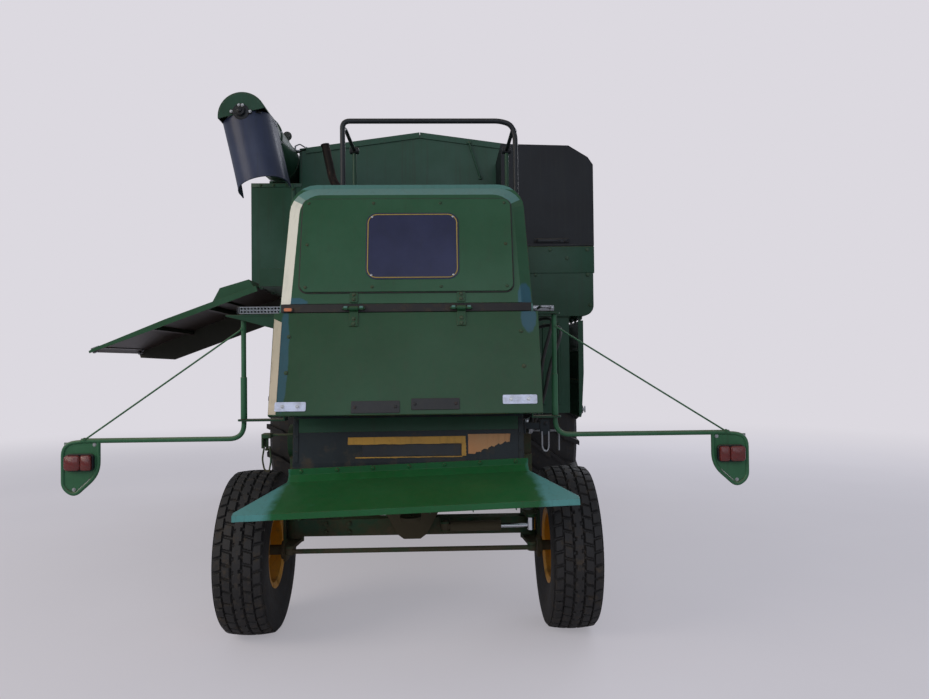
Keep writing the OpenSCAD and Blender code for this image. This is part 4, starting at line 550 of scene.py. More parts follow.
# wings: a teal reflection of the sky painted on the tailboard's flared wings
board_enamel = weathered_enamel("bright_green_board_enamel", "#0a4f22", "#10582d", dust=0.08, chips=0.6,
    gloss=0.3, streaks=0.3, patch="#125a34", dents=0.003, wings=("#4f8a89", 0.65), slot="tailboard_paint")
chopper_enamel = weathered_enamel("grey_blue_chopper_enamel", "#121a1d", "#1e282c", dust=0.3, mud_top=1.25,
    chips=0.5, gloss=0.4, slot="chopper_paint")
black_enamel = weathered_enamel("black_enamel", "#15191d", "#21262a", dust=0.3, chips=0.25, gloss=0.4,
    streaks=0.2, slot="black_paint")
dress(body_enamel, "separator_body", "side_bodies", "grain_elevator", "feeder_house", "platform",
    "arm_brackets", "side_door_right", "cab_shell", "cab_door")
dress(door_enamel, "side_door_left")
dress(tank_enamel, "grain_tank", "tank_lid_left", "tank_lid_right", "auger_base", "auger_tube", "cab_roof")
dress(hood_enamel, "hood_shell", "hood_cover")
dress(flap_enamel, "hood_flap", "lamp_arm_left", "lamp_arm_right")
dress(board_enamel, "tailboard")
dress(chopper_enamel, "chopper_housing")
dress(black_enamel, "cab_seat", "engine_block", "exhaust", "guard_rail", "work_light", "drive_pulleys",
    "cab_mirrors")
dress(turned_steel, "rotary_screen")

# Laminated and toughened panes, slightly tinted, in rubber seals.
glass, tree = new_material("tinted_safety_glass")
place = add(tree, "TexCoord").outputs["Object"]
film = add(tree, "TexNoise", {"Vector": place, "Scale": 6, "Detail": 6, "Roughness": 0.7})
dull = add(tree, "MapRange", {0: film, 1: 0.4, 2: 0.75, 3: 0.03, 4: 0.22})
tone = add(tree, "Mix", {0: film, 6: linear("#b9c8c4"), 7: linear("#a9b3a8")}, data_type="RGBA")
shader = add(tree, "BsdfPrincipled", {"Base Color": tone, "Roughness": dull, "IOR": 1.52,
    "Transmission Weight": 0.9})
add(tree, "OutputMaterial", {"Surface": shader})
dress(glass, "cab_glass", "cab_door_glass")

# ---------------------------------------------------------------- hood's rear panel and flap
# The upper panel is a folded sheet with a bolted cover over the straw walkers; the flap below it
# hangs on two strap hinges. Fittings are zinc-plated bolts, folded straps and reflective film.


def axes_at(foot, x=(1, 0, 0), up=(0, 0, 1), out=(0, -1, 0)):
    """Axes of a panel: a point, and the unit vectors along it, up it and out of it; it faces the rear
    unless they are given."""
    return tuple(np.array(v, float) for v in (foot, x, up, out))


def leaning(foot, head):
    """Axes of a leaning panel: the point of its foot's middle, X, up along the panel, and out to the rear."""
    rise = np.array([0, head[0] - foot[0], head[1] - foot[1]], float)
    up = rise / np.linalg.norm(rise)
    return axes_at((0, *foot), up=up, out=np.cross([1.0, 0, 0], up))


def put(points, axes):
    """Local (x, up, out) points of a panel as places on the machine: foot + x X + up U + out W."""
    foot, x, up, out = axes
    p = np.asarray(points, float)
    return foot + p[..., :1] * x + p[..., 1:2] * up + p[..., 2:3] * out


def rounded(width, height, radius, steps=6, middle=(0, 0)):
    """The outline of a rectangle with round corners: four quarter circles, anticlockwise."""
    a = np.linspace(0, math.pi / 2, steps)
    cx, cy = width / 2 - radius, height / 2 - radius
    corners = [(cx, cy, 0), (-cx, cy, 1), (-cx, -cy, 2), (cx, -cy, 3)]
    return np.concatenate([
        np.stack([x + radius * np.cos(a + q * math.pi / 2), y + radius * np.sin(a + q * math.pi / 2)], -1)
        for x, y, q in corners]) + np.asarray(middle, float)


def drawn_in(outline, d):
    """An anticlockwise outline moved inwards by d along the mean of its two edges' inner normals m,
    by 2 d m / m.m, which keeps the walls parallel."""
    turn = [np.stack([-e[:, 1], e[:, 0]], -1) / np.maximum(np.linalg.norm(e, axis=1), 1e-9)[:, None]
        for e in (outline - np.roll(outline, 1, 0), np.roll(outline, -1, 0) - outline)]
    m = turn[0] + turn[1]
    return outline + 2 * d * m / np.maximum((m * m).sum(1), 1.0)[:, None]


def plate(outline, low, high, axes, edge=1.5):
    """A flat plate from an outline: four loops, the outer two drawn in to round its edges."""
    o = np.asarray(outline, float)
    small = drawn_in(o, edge)
    rows = [(small, low), (o, low + edge), (o, high - edge), (small, high)]
    return skin(np.stack([put(np.concatenate([p, np.full((len(p), 1), z)], 1), axes) for p, z in rows]))


machine_axes = axes_at((0, 0, 0), up=(0, 1, 0), out=(0, 0, 1))
rear_axes = axes_at((0, 0, 0))


def block(low, high, edge=2.0, axes=None):
    """A box with rounded edges between two opposite corners, in the machine's axes or a panel's."""
    (x0, y0, z0), (x1, y1, z1) = low, high
    axes = axes or machine_axes
    r = min(edge, (x1 - x0) / 2.2, (y1 - y0) / 2.2, (z1 - z0) / 2.2)
    return plate(rounded(x1 - x0, y1 - y0, r * 1.2, 3, ((x0 + x1) / 2, (y0 + y1) / 2)), z0, z1, axes, r)


def pipe(path, radius, n=12, bend=0.0, closed=False, steps=6):
    """A round tube along a path: corners become arcs of a parabola, and a circle square to the path
    is carried from point to point with the least twist."""
    p = [np.asarray(q, float) for q in path]
    if bend:
        t = np.linspace(0, 1, steps)[:, None]
        out = [p[0][None]] if not closed else []
        rng = range(len(p)) if closed else range(1, len(p) - 1)
        for i in rng:
            a, b, c = p[i - 1], p[i], p[(i + 1) % len(p)]
            u, v = (a - b) / np.linalg.norm(a - b), (c - b) / np.linalg.norm(c - b)
            d = min(bend, np.linalg.norm(a - b) / 2.05, np.linalg.norm(c - b) / 2.05)
            out.append((1 - t) ** 2 * (b + u * d) + 2 * t * (1 - t) * b + t ** 2 * (b + v * d))
        if not closed:
            out.append(p[-1][None])
        p = np.concatenate(out)
    p = np.asarray(p)
    run = (np.roll(p, -1, 0) - np.roll(p, 1, 0)) if closed else np.gradient(p, axis=0)
    run /= np.linalg.norm(run, axis=1)[:, None]
    u, _ = square_to(run[0])
    a, rows = ring(n), []
    for point, t in zip(p, run):
        u = u - t * (u @ t)
        u /= np.linalg.norm(u)
        rows.append(point + radius * (np.cos(a)[:, None] * u + np.sin(a)[:, None] * np.cross(t, u)))
    return skin(np.stack(rows), closed)


panel = leaning((-480, 1940), (-300, 2650))
flap_face = leaning((-640, 1340), (-480, 1890))
cover_face = (panel[0] + panel[3] * 12, *panel[1:])

# rubber seal round the cover, and its screws
seal = rounded(1186, 566, 46, 8, (0, 345))
seal = pipe(put(np.concatenate([seal, np.full((len(seal), 1), 2.0)], 1), panel), 4.0, 8, closed=True)
make("cover_seal", [seal], belt_rubber, crease=60)
cover_screws = [(x, up) for x in (-556, -190, 190, 556) for up in (92, 598)] + [(-556, 345), (556, 345)]
bolts("cover_screws", put([(x, up, -0.5) for x, up in cover_screws], cover_face), cover_face[3], 11, 5,
    frame_enamel, slot="body_paint")

# blank badge plate: anodised sheet in a thin bent rim, riveted at its corners
navy_plate = weathered_enamel("dark_blue_stove_enamel", "#1f2440", "#2b3050", dust=0.1, chips=0.15, gloss=0.35,
    streaks=0.15, dents=0.0008, slot="black_paint")
badge = rounded(520, 400, 62, 9, (32, 336))
make("badge_plate", [plate(badge, -0.2, 3.0, cover_face, 0.8)], navy_plate, crease=30)
brass_film = weathered_enamel("dull_ochre_trim_film", "#a88f45", "#94803f", dust=0.1, chips=0.3, gloss=0.45,
    streaks=0.2, dents=0.0005, slot=None)
rim = put(np.concatenate([drawn_in(badge, 10), np.full((len(badge), 1), 2.4)], 1), cover_face)
make("badge_rim", [pipe(rim, 3.2, 8, closed=True)], brass_film, crease=60)
rivets = [(-196, 160), (260, 160), (-196, 512), (260, 512)]
make("badge_rivets", [turned([(7, 0), (6.4, 2.2), (4, 3.6), (0.5, 4.0)], p, cover_face[3], 12)
    for p in put([(x, u, 2.6) for x, u in rivets], cover_face)], zinc_bolts)

# upper hinge leaves on the panel, each pressed over the flap's pin
leaves, leaf_bolts = [], []
hinge_x = (-290, 300)
for x in hinge_x:
    leaves.append(plate(rounded(46, 62, 6, 4, (x, 36)), -0.3, 5.5, panel, 1.2))
    leaf_bolts += [(x, 22, 4.8), (x, 50, 4.8)]
make("hinge_leaves", leaves, flap_enamel)
bolts("hinge_leaf_bolts", put(leaf_bolts, panel), panel[3], 14, 7, frame_enamel, slot="body_paint")
strap_bolts = [(x, up, 6.6) for x in hinge_x for up in (505, 535)]
bolts("hinge_strap_bolts", put(strap_bolts, flap_face), flap_face[3], 15, 7, frame_enamel, "flap",
    slot="body_paint")

# corner bolts of the flap, with washers
corner_bolts = [(-637, 436, -0.4), (-642, 233, -0.4), (625, 457, -0.4), (633, 258, -0.4)]
bolts("flap_corner_bolts", put(corner_bolts, flap_face), flap_face[3], 14, 7, frame_enamel, "flap",
    slot="bright_steel")
# rolled beads along the flap's two sides and its foot, where the sheet is folded over
beads = [pipe(put([(s * 721, 4, -4), (s * 721, 560, -4)], flap_face), 4.0, 10) for s in (-1, 1)]
beads.append(pipe(put([(-719, 4, -4), (719, 4, -4)], flap_face), 4.2, 10))
make("flap_folded_edges", beads, flap_enamel, "flap", crease=60)


def retroreflective(name, tint, gloss):
    """Reflective film: a pale tint with a 4 mm honeycomb of prisms under a clear coat, dust in clouds."""
    material, tree = new_material(name, None)
    place = add(tree, "TexCoord").outputs["Object"]
    cells = add(tree, "TexVoronoi", {"Vector": place, "Scale": 240, "Randomness": 0.25},
        feature="DISTANCE_TO_EDGE")
    wall = add(tree, "MapRange", {0: cells.outputs["Distance"], 1: 0.03, 2: 0.10, 3: 0.82, 4: 1.0})
    cloud = add(tree, "TexNoise", {"Vector": place, "Scale": 17, "Detail": 7, "Roughness": 0.7})
    grime = add(tree, "MapRange", {0: cloud, 1: 0.45, 2: 0.75, 4: 0.55})
    lit = add(tree, "Mix", {0: wall, 6: linear("#6f7a86"), 7: linear(tint)}, data_type="RGBA")
    colour = add(tree, "Mix", {0: grime, 6: lit, 7: linear("#6e6a5e")}, data_type="RGBA")
    rough = add(tree, "MapRange", {0: grime, 1: 0.0, 2: 0.55, 3: gloss, 4: 0.8})
    shader = add(tree, "BsdfPrincipled", {"Base Color": colour, "Roughness": rough, "IOR": 1.5,
        "Coat Weight": 0.6, "Coat Roughness": 0.08})
    add(tree, "OutputMaterial", {"Surface": shader})
    return material


white_film = retroreflective("white_reflective_film", "#c3cde4", 0.3)
plates = [plate(rounded(164, 50, 7, 4, (-610, 48)), 0.2, 4.0, flap_face, 0.8),
    plate(rounded(184, 50, 7, 4, (604, 74)), 0.2, 4.0, flap_face, 0.8)]
make("white_marker_plates", plates, white_film, "flap")
plate_bolts = [(-650, 48, 3.6), (-572, 48, 3.6), (556, 74, 3.6), (650, 74, 3.6)]
bolts("marker_plate_bolts", put(plate_bolts, flap_face), flap_face[3], 13, 6, body="flap")
# two dark rubber wear pads bolted on the flap's foot
pads = [plate(rounded(256, 66, 5, 4, (-163, 41)), 0.2, 4.4, flap_face, 1.0),
    plate(rounded(256, 62, 5, 4, (154, 54)), 0.2, 4.4, flap_face, 1.0)]
make("flap_wear_pads", pads, black_enamel, "flap", slot="belt_rubber")
pad_bolts = [(x, up, 4.0) for x, up in ((-270, 41), (-56, 41), (46, 54), (262, 54))]
bolts("wear_pad_bolts", put(pad_bolts, flap_face), flap_face[3], 11, 5, black_enamel, "flap",
    slot="bright_steel")


def moulded_lens(name, tint, dust, flute=52):
    """Clear-coated acrylic: a tint with dust in 15 mm clouds, and moulded flutes 3 mm apart as bump."""
    material, tree = new_material(name, None)
    place = add(tree, "TexCoord").outputs["Object"]
    flutes = add(tree, "TexWave", {"Vector": place, "Scale": flute, "Distortion": 0.3, "Detail": 1},
        bands_direction="X")
    dusty = add(tree, "TexNoise", {"Vector": place, "Scale": 60, "Detail": 5})
    tone = add(tree, "Mix", {0: dusty, 6: linear(tint), 7: linear(dust)}, data_type="RGBA")
    press = add(tree, "Bump", {"Height": flutes, "Distance": 0.001, "Strength": 0.5})
    shader = add(tree, "BsdfPrincipled", {"Base Color": tone, "Roughness": 0.18, "IOR": 1.49, "Normal": press,
        "Subsurface Weight": 0.1})
    add(tree, "OutputMaterial", {"Surface": shader})
    return material


# small clearance lamp at the hood's left side, between panel and flap
amber = moulded_lens("amber_acrylic_lens", "#d96a2c", "#b98a70")
lamp_axes = axes_at((-648, -478, 1908))
make("clearance_lamp_base", [plate(rounded(52, 24, 5, 4), -8, 6, lamp_axes, 1)], belt_rubber,
    slot="black_paint")
make("clearance_lamp_lens", [plate(rounded(44, 18, 8, 6), 5, 15, lamp_axes, 3)], amber)

# ---------------------------------------------------------------- straw chopper and tailboard
# A welded housing of 4 mm plate in blue-grey enamel with bolted flanges, and below it the bright
# green tailboard, bent from one sheet and scraped by straw, with a teal reflection of the sky painted on its
# wings.
chopper_face = leaning((-388, 1055), (-350, 1345))
root_y, root_z, dip = -388, 1010, math.radians(-1.9)


def on_board(points):
    """Points of the tailboard, drawn level, turned by dip about its root's middle: x cos + z sin and
    z cos - x sin."""
    p = np.asarray(points, float)
    x = p[..., 0] * math.cos(dip) + p[..., 2] * math.sin(dip)
    z = -p[..., 0] * math.sin(dip) + p[..., 2] * math.cos(dip)
    return np.stack([x, p[..., 1] + root_y, z + root_z], -1)


# blank worn film where a sign was: an ochre band over a dark one, and a faded scrap beside it
ochre_film = weathered_enamel("ochre_sign_film", "#b98d3a", "#a07c3c", dust=0.3, mud_top=1.2, chips=0.9,
    gloss=0.5, dents=0.0004, rust="#3a4146", slot=None)
dark_film = weathered_enamel("dark_sign_film", "#25272a", "#34373a", dust=0.3, mud_top=1.2, chips=0.7,
    gloss=0.5, dents=0.0004, slot=None)
scrap_film = weathered_enamel("faded_orange_sign_film", "#b5784a", "#a98860", dust=0.2, chips=0.9, gloss=0.55,
    dents=0.0004, rust="#3a4146", slot=None)


def torn(left, right, low, high, tear, seed):
    """A rectangle's outline with ragged sides, apart from its top: each tooth is a sum of two sines."""
    t = np.linspace(0, 1, 30)[:-1]
    wave = tear * (0.6 * np.sin(t * 23 + seed) + 0.4 * np.sin(t * 61 + 2.3 * seed)) * np.sin(t * math.pi) ** 0.5
    w, h = right - left, high - low
    bottom = np.stack([left + w * t, low + wave], -1)
    side = np.stack([right + 0.6 * wave, low + h * t], -1)
    top = np.stack([right - w * t, high + 0 * t], -1)
    back = np.stack([left + 0.5 * wave, high - h * t], -1)
    return np.concatenate([bottom, side, top, back])


for word, film, patches in (
        ("band", ochre_film, [(-343, 320, 100, 142, 2, 1.0, 0.9)]),
        ("field", dark_film, [(-262, 292, 34, 97, 5, 2.0, 0.9)]),
        ("edges", ochre_film, [(-300, 300, 24, 31, 1.5, 3.0, 1.0), (296, 322, 30, 104, 2, 4.0, 1.0)])):
    make(f"sign_film_{word}", [plate(torn(*p[:6]), 0.05, p[6], chopper_face, 0.3) for p in patches], film)
t = np.linspace(0, 1, 26)
tear = np.stack([372 + 196 * t, 40 + 70 * t ** 0.8 + 5 * np.sin(t * 31) + 3 * np.sin(t * 67)], -1)
scrap = np.concatenate([[(333, 152), (333, 42)], tear, [(574, 152)]])
make("sign_film_scrap", [plate(scrap, 0.05, 0.9, chopper_face, 0.3)], scrap_film)

# flange bolts round the housing's face, its end plates' folded edges and the top angle
rim_bolts = [(x, 268, -0.3) for x in np.linspace(-600, 600, 9)] + [(s * 632, u, -0.3) for s in (-1, 1)
    for u in (60, 150, 235)]
bolts("chopper_face_bolts", put(rim_bolts, chopper_face), chopper_face[3], 15, 7, chopper_enamel)
angle = [block((-648, 250, -0.2), (648, 286, 4.5), 1.5, chopper_face)]
angle += [block((s * 632 - 14, 4, -0.2), (s * 632 + 14, 248, 4.5), 1.5, chopper_face) for s in (-1, 1)]
make("chopper_face_angles", angle, chopper_enamel)
ends = []
for s in (-1, 1):
    ring_bolts = [(s * 662, -150 + 46 * math.cos(a), 1160 + 46 * math.sin(a)) for a in ring(6, 0.5)]
    ends += hex_bolts(ring_bolts, (s, 0, 0), 12, 5.5)
make("chopper_bearing_bolts", ends, zinc_bolts)

# tailboard: bolts along its root, folded hems along the wings and the lip
root_bolts = [on_board((x, -6, 22)) for x in np.linspace(-600, 600, 7)]
bolts("tailboard_root_bolts", root_bolts, (0, -1, 0), 15, 7, board_enamel)
hem = [(-888, -357, -164), (888, -357, -164)]
wing_l = [(-664, -33, -30), (-886, -330, -132)]
wing_r = [(664, -33, -30), (886, -330, -132)]
hems = [pipe(on_board(p), 3.2, 8) for p in (hem, wing_l, wing_r)]
make("tailboard_hems", hems, board_enamel, crease=60)

# Mechanism at the chopper's left end: a folded bracket, a hanging bolt and the chopper pulley's
# guard loop; at its right end a pressed bracket, a link and a short bar.
left_parts = [block((-826, -372, 1196), (-774, -300, 1222), 3),
    block((-800, -336, 1206), (-652, -316, 1218), 3), block((-826, -372, 1140), (-816, -300, 1200), 3),
    turned([(13, 0), (13, 6), (8, 8), (8, 62), (13, 64), (13, 74), (4, 75)], (-800, -340, 1200), (0, 0, -1),
    12), pipe([(-810, -362, 1155), (-822, -368, 1080), (-810, -366, 1020), (-786, -362, 1008),
    (-774, -360, 1070), (-782, -360, 1152)], 5, 8, bend=24)]
make("chopper_latch_left", left_parts, frame_enamel)
right_parts = [
    plate(rounded(56, 92, 12, 4, (778, 1236)), 300, 312, rear_axes, 1.5),
    block((656, -312, 1196), (668, -250, 1276), 2), block((660, -306, 1222), (760, -298, 1262), 2),
    turned([(12, 0), (12, 8), (7, 9), (7, 20), (3, 21)], (784, -312, 1254), (0, -1, 0), 12),
]
make("chopper_latch_right", right_parts, chopper_enamel)
link = pipe([(760, -320, 1210), (760, -322, 1120), (772, -324, 1098), (788, -324, 1098), (798, -322, 1120),
    (798, -320, 1210)], 5, 8, bend=14)
bar_ = pipe([(726, -190, 1205), (871, -225, 1205), (871, -225, 1090)], 6, 8, bend=20)
make("chopper_link_right", [link, bar_], turned_steel)

# ---------------------------------------------------------------- lamp arms
# Each tail lamp sits on an arm of 28 mm steel tube that turns in two brackets on the hood's side.
# A 10 mm rod braces the arm; its end is bent into a loop that holds a folded plate and the lamp.
arm_y, arm_out_z = -300.0, 1190.0
red_lens = moulded_lens("red_acrylic_lens", "#6e1a1a", "#54302a")
arm_enamel = weathered_enamel("green_tube_enamel", "#2c5a3c", "#3c6a4c", dust=0.5, chips=0.6, gloss=0.36)
lamp_x, lamp_z = 1855, 1070
for s, x, word in ((-1, 940.0, "left"), (1, 840.0, "right")):
    body = f"arm_{word}"
    arm = pipe([(s * x, arm_y, 1883), (s * x, arm_y, arm_out_z), (s * 1852, arm_y, arm_out_z)], 14, 16, bend=86,
        steps=10)
    loop = pipe([(s * 1800, arm_y, arm_out_z), (s * 1956, arm_y, 1176), (s * 1956, arm_y, 925),
        (s * 1893, arm_y, 880), (s * 1757, arm_y, 1002), (s * 1757, arm_y, 1186)], 11, 14, bend=70, steps=8)
    sleeve = turned([(13, 0), (18, 1.5), (18, 238.5), (13, 240)], (s * x, arm_y, 1300.4), (0, 0, 1), 24)
    pin = turned([(10, 0), (10, 19), (8, 21)], (s * x, arm_y, 1872), (0, 0, 1), 18)
    piece = make(f"lamp_arm_tube_{word}", [arm, loop, sleeve, pin], arm_enamel, body, crease=50)
    # the brace is bolted to the tube at both its ends
    foot, head = np.array([s * 1830.0, arm_y - 4, arm_out_z + 8]), np.array([s * (x + 6), arm_y - 4, 1815.0])
    rod = pipe([foot, head], 5, 10)
    make(f"lamp_arm_brace_{word}", [rod] + hex_bolts([foot + (0, -6, 0), head + (0, -6, 0)], (0, -1, 0), 14, 8),
        arm_enamel, body, crease=50)
    shape = np.array([(1948, 1182), (1765, 1182), (1765, 1012), (1893, 896), (1948, 934)], float) * (s, 1)
    shape = shape if s > 0 else shape[::-1]
    carrier = plate(shape, 299, 303, rear_axes, 1.0)
    make(f"lamp_plate_{word}", [carrier], arm_enamel, body)
    # lamp: a black moulded base with two ribbed lenses
    base = plate(rounded(158, 98, 22, 6, (s * lamp_x, lamp_z)), 303, 326, rear_axes, 3)
    make(f"tail_lamp_base_{word}", [base], black_enamel, body)
    lens_a = plate(rounded(88, 86, 18, 6, (s * (lamp_x + 32), lamp_z)), 325, 350, rear_axes, 7)
    lens_b = plate(rounded(60, 86, 14, 6, (s * (lamp_x - 43), lamp_z)), 325, 348, rear_axes, 6)
    make(f"tail_lamp_lens_{word}", [lens_a, lens_b], red_lens, body, crease=50)
    plate_bolts = [(s * px, arm_y - 3, pz) for px, pz in ((1935, 1168), (1778, 1168), (1893, 916))]
    bolts(f"lamp_plate_bolts_{word}", plate_bolts, (0, -1, 0), 13, 6, body=body)
    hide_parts(f"lamp_arm_{word}")

# ---------------------------------------------------------------- work light
# A bar of twelve lamps in a finned housing of die-cast aluminium, painted black, on a shelf of
# folded sheet whose gusset runs down the hood's side. Two feet and bolts hold it.
reflector = rolled_steel("vacuum_metallised_reflector", "#dfe3e8", 0.18, 0.0, slot=None)
bar_body = [block((-968, -322, 1899), (-712, -286, 1940), 4)]
bar_body += [block((-964, -287, z), (-716, -272, z + 3), 1) for z in range(1902, 1938, 6)]
bar_body += [block((x - 6, -326, 1896), (x + 6, -270, 1943), 4) for x in (-966, -714)]
bar_body += [block((x - 14, -318, 1894), (x + 14, -282, 1900), 2) for x in (-920, -760)]
lights = make("work_light_housing", bar_body, black_enamel)
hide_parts("work_light")
cells = [turned([(11.5, 0), (11.5, 1.5), (9.5, 1.5), (5, -2.0), (0.5, -3.0)], (x, -322, z), (0, -1, 0), 4,
    math.pi / 4) for x in np.linspace(-945, -735, 12) for z in (1911, 1929)]
make("work_light_cells", cells, reflector, crease=20)
bezel = pipe([(-960, -322, 1901), (-720, -322, 1901), (-720, -322, 1938), (-960, -322, 1938)], 2.2, 8, bend=5,
    closed=True)
make("work_light_bezel", [bezel], turned_steel, slot=None, crease=60)
gusset = np.array([(-1030, 1893), (-1030, 1884), (-962, 1868), (-704, 1798), (-704, 1893)], float)
shelf = [plate(gusset, 338, 343, rear_axes, 1.0), block((-1030, -342, 1884.5), (-972, -262, 1893), 1.5)]
shelf += [block((-704, -343, 1790), (-698, -250, 1893), 1.2)]
make("work_light_shelf", shelf, body_enamel)
bolts("work_light_bolts", [(x, -300, 1884) for x in (-920, -760)], (0, 0, -1), 14, 7)
wire = pipe([(-716, -280, 1915), (-704, -262, 1915), (-699, -240, 1905), (-699, -120, 1850)], 4, 8, bend=14)
make("work_light_lead", [wire], belt_rubber, crease=60)

# ---------------------------------------------------------------- guard rail
# A hoop of 34 mm tube, bent cold and welded to side rails, in black enamel. Its feet are round
# plates bolted to the hood's roof; the front posts are painted with the body.
rail_top, rail_left, rail_right, rail_foot = 3210.0, -450.0, 690.0, 2652
hoop = pipe([(rail_left, 300, rail_foot), (rail_left, 300, rail_top), (rail_right - 100, 300, rail_top),
    (rail_right - 24, 300, rail_top - 24), (rail_right, 300, rail_top - 100), (rail_right, 300, rail_foot)], 17,
    18, bend=48, steps=10)
rails = [pipe([(x, 318, rail_top - 92), (x, 318, rail_top - 60), (x, 420, rail_top - 8),
    (x, 946, rail_top - 8)], 13, 14, bend=60) for x in (rail_left, rail_right)]
brackets = [block((x - 34, 918, rail_top - 30), (x + 34, 962, rail_top + 14), 4)
    for x in (rail_left, rail_right)]
rail = make("guard_rail_hoop", [hoop] + rails + brackets, black_enamel, crease=50)
posts = [pipe([(x, 940, rail_foot), (x, 940, rail_top - 20)], 15, 14) for x in (rail_left, rail_right)]
make("guard_rail_front_posts", posts, body_enamel, crease=50)
feet, foot_bolts = [], []
for x in (rail_left, rail_right):
    for y in (300, 940):
        feet.append(turned([(40, 0), (40, 6.5), (38.5, 8), (19, 8), (18, 22), (17, 24)], (x, y, 2649.5),
            (0, 0, 1), 32))
        foot_bolts += [(x + 30 * math.cos(a), y + 30 * math.sin(a), 2657.5) for a in ring(3, 0.6)]
make("guard_rail_feet", feet, black_enamel, crease=40)
bolts("guard_rail_foot_bolts", foot_bolts, (0, 0, 1), 13, 7)
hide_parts("guard_rail")

# ---------------------------------------------------------------- unloading auger
# A rolled and welded steel tube with a screw inside, swung on a turret at the tank's shoulder. Its
# rear end has a pressed cap with the screw's bearing, and a U-shaped spout that is open forwards.
auger_x, auger_z, auger_r, cap_y, chute_y = -1325.0, 3520.0, 185, 1100.0, 1285.0
lean = math.radians(13)
spout_enamel = weathered_enamel("slate_blue_spout_enamel", "#2a3146", "#363e54", dust=0.3, chips=0.4,
    gloss=0.42, streaks=0.3, dents=0.003)
tube_enamel = weathered_enamel("green_auger_enamel", "#1d3d2c", "#284a3a", dust=0.55, chips=0.3, gloss=0.3,
    streaks=0.4)


def half_shell(y0, y1, outer, inner, start, stop, n=40):
    """A curved wall round the auger's axis: an arc of two radii between two angles, from y0 to y1."""
    a = np.linspace(start, stop, n)
    section = [(y0, outer), (y0 + 1.5, outer + 1), (y1, outer + 1), (y1, inner), (y0, inner)]
    loops = [np.stack([auger_x + r * np.cos(a), np.full(n, y), auger_z + r * np.sin(a)], -1)
        for y, r in section]
    return skin(np.stack(loops, 1))


bow = np.linspace(0, math.pi / 2, 14)
barrel = np.concatenate([[(178, 0), (auger_r, 3), (auger_r, 2228)],
    np.stack([auger_r * np.cos(bow), 2230 + auger_r * np.sin(bow)], -1)[:-1], [(2, 2415)]])
shell = [turned(barrel, (auger_x, 1470, auger_z), (0, 1, 0), 72),
    turned([(176, 0), (180, 2), (180, 190)], (auger_x, 3700, 3331), (0, 0, 1), 60),
    half_shell(cap_y + 8, 1474, auger_r, auger_r - 5, lean + 0.13, math.pi + lean - 0.13)]
for ys, profile in (((1620, 1634), [(184, 0), (196, 1.5), (196, 10.5), (184, 12)]),
                    ((1468, 2330), [(184, 0), (189, 2), (189, 38), (184, 40)])):
    shell += [turned(profile, (auger_x, y, auger_z), (0, 1, 0), 72) for y in ys]
tube = make("auger_tube_shell", shell, tube_enamel, "auger", crease=40)
ring_bolts = [(auger_x + 190.5 * math.cos(a), 1619, auger_z + 190.5 * math.sin(a)) for a in ring(14, 0.2)]
bolts("auger_flange_bolts", ring_bolts, (0, -1, 0), 12, 8, body="auger")

# cap: the part of the tube's end above the spout, its lower edge square to the spout's lean
arc = np.linspace(lean + 0.13, math.pi + lean - 0.13, 44)
cap = np.stack([auger_x + 186 * np.cos(arc), auger_z + 186 * np.sin(arc)], -1)
lip = np.stack([auger_x + 176 * np.cos(arc), auger_z + 176 * np.sin(arc)], -1)
cap_parts = [plate(cap, -cap_y - 14, -cap_y - 2, rear_axes, 1.5),
    plate(lip, -cap_y - 4, -cap_y, rear_axes, 1.5)]
make("auger_end_cap", cap_parts, tube_enamel, "auger", crease=30)
screw_x, screw_z = auger_x - 8, auger_z + 32
bearing = [turned([(62, 0), (62, 7), (40, 9), (38, 20), (30, 30), (16, 32), (15, 46), (12, 48)],
    (screw_x, cap_y + 1, screw_z), (0, -1, 0), 28)]
bearing += [block((screw_x - 84, cap_y - 8, screw_z - 16), (screw_x + 84, cap_y + 1, screw_z + 16), 3)]
make("auger_bearing", bearing, black_enamel, "auger", crease=34)
bearing_bolts = [(screw_x + dx, cap_y - 8, screw_z) for dx in (-72, 72)]
bearing_bolts += [(screw_x + dx, cap_y - 6, screw_z + 50) for dx in (-14, 14)]
bolts("auger_bearing_bolts", bearing_bolts, (0, -1, 0), 14, 8, body="auger")

# screw: a flight wound on the shaft, angle growing with y, a strip from the shaft to the wall
turn = np.linspace(0, 2 * math.pi * 1.25, 90)
flight_y = cap_y + 26 + turn / (2 * math.pi) * 270
corners = [(28, -2.5), (146, -1.5), (146, 1.5), (28, 2.5)]
flight = [np.stack([screw_x + r * np.cos(turn), flight_y + dy, screw_z + r * np.sin(turn)], -1)
    for r, dy in corners]
screw = [skin(np.stack(flight, 1)), turned([(30, 0), (30, 368)], (screw_x, cap_y + 12, screw_z), (0, 1, 0), 20)]
make("auger_screw", screw, turned_steel, "auger", crease=40)

# spout: across is the way round the U, down is the way along it; the rear wall ends in an arch and
# the side walls in points. Each across has a closed loop of its outer and inner wall.
across, down = np.linspace(-1, 1, 61), np.linspace(0, 1, 16)
bend_share = 0.6


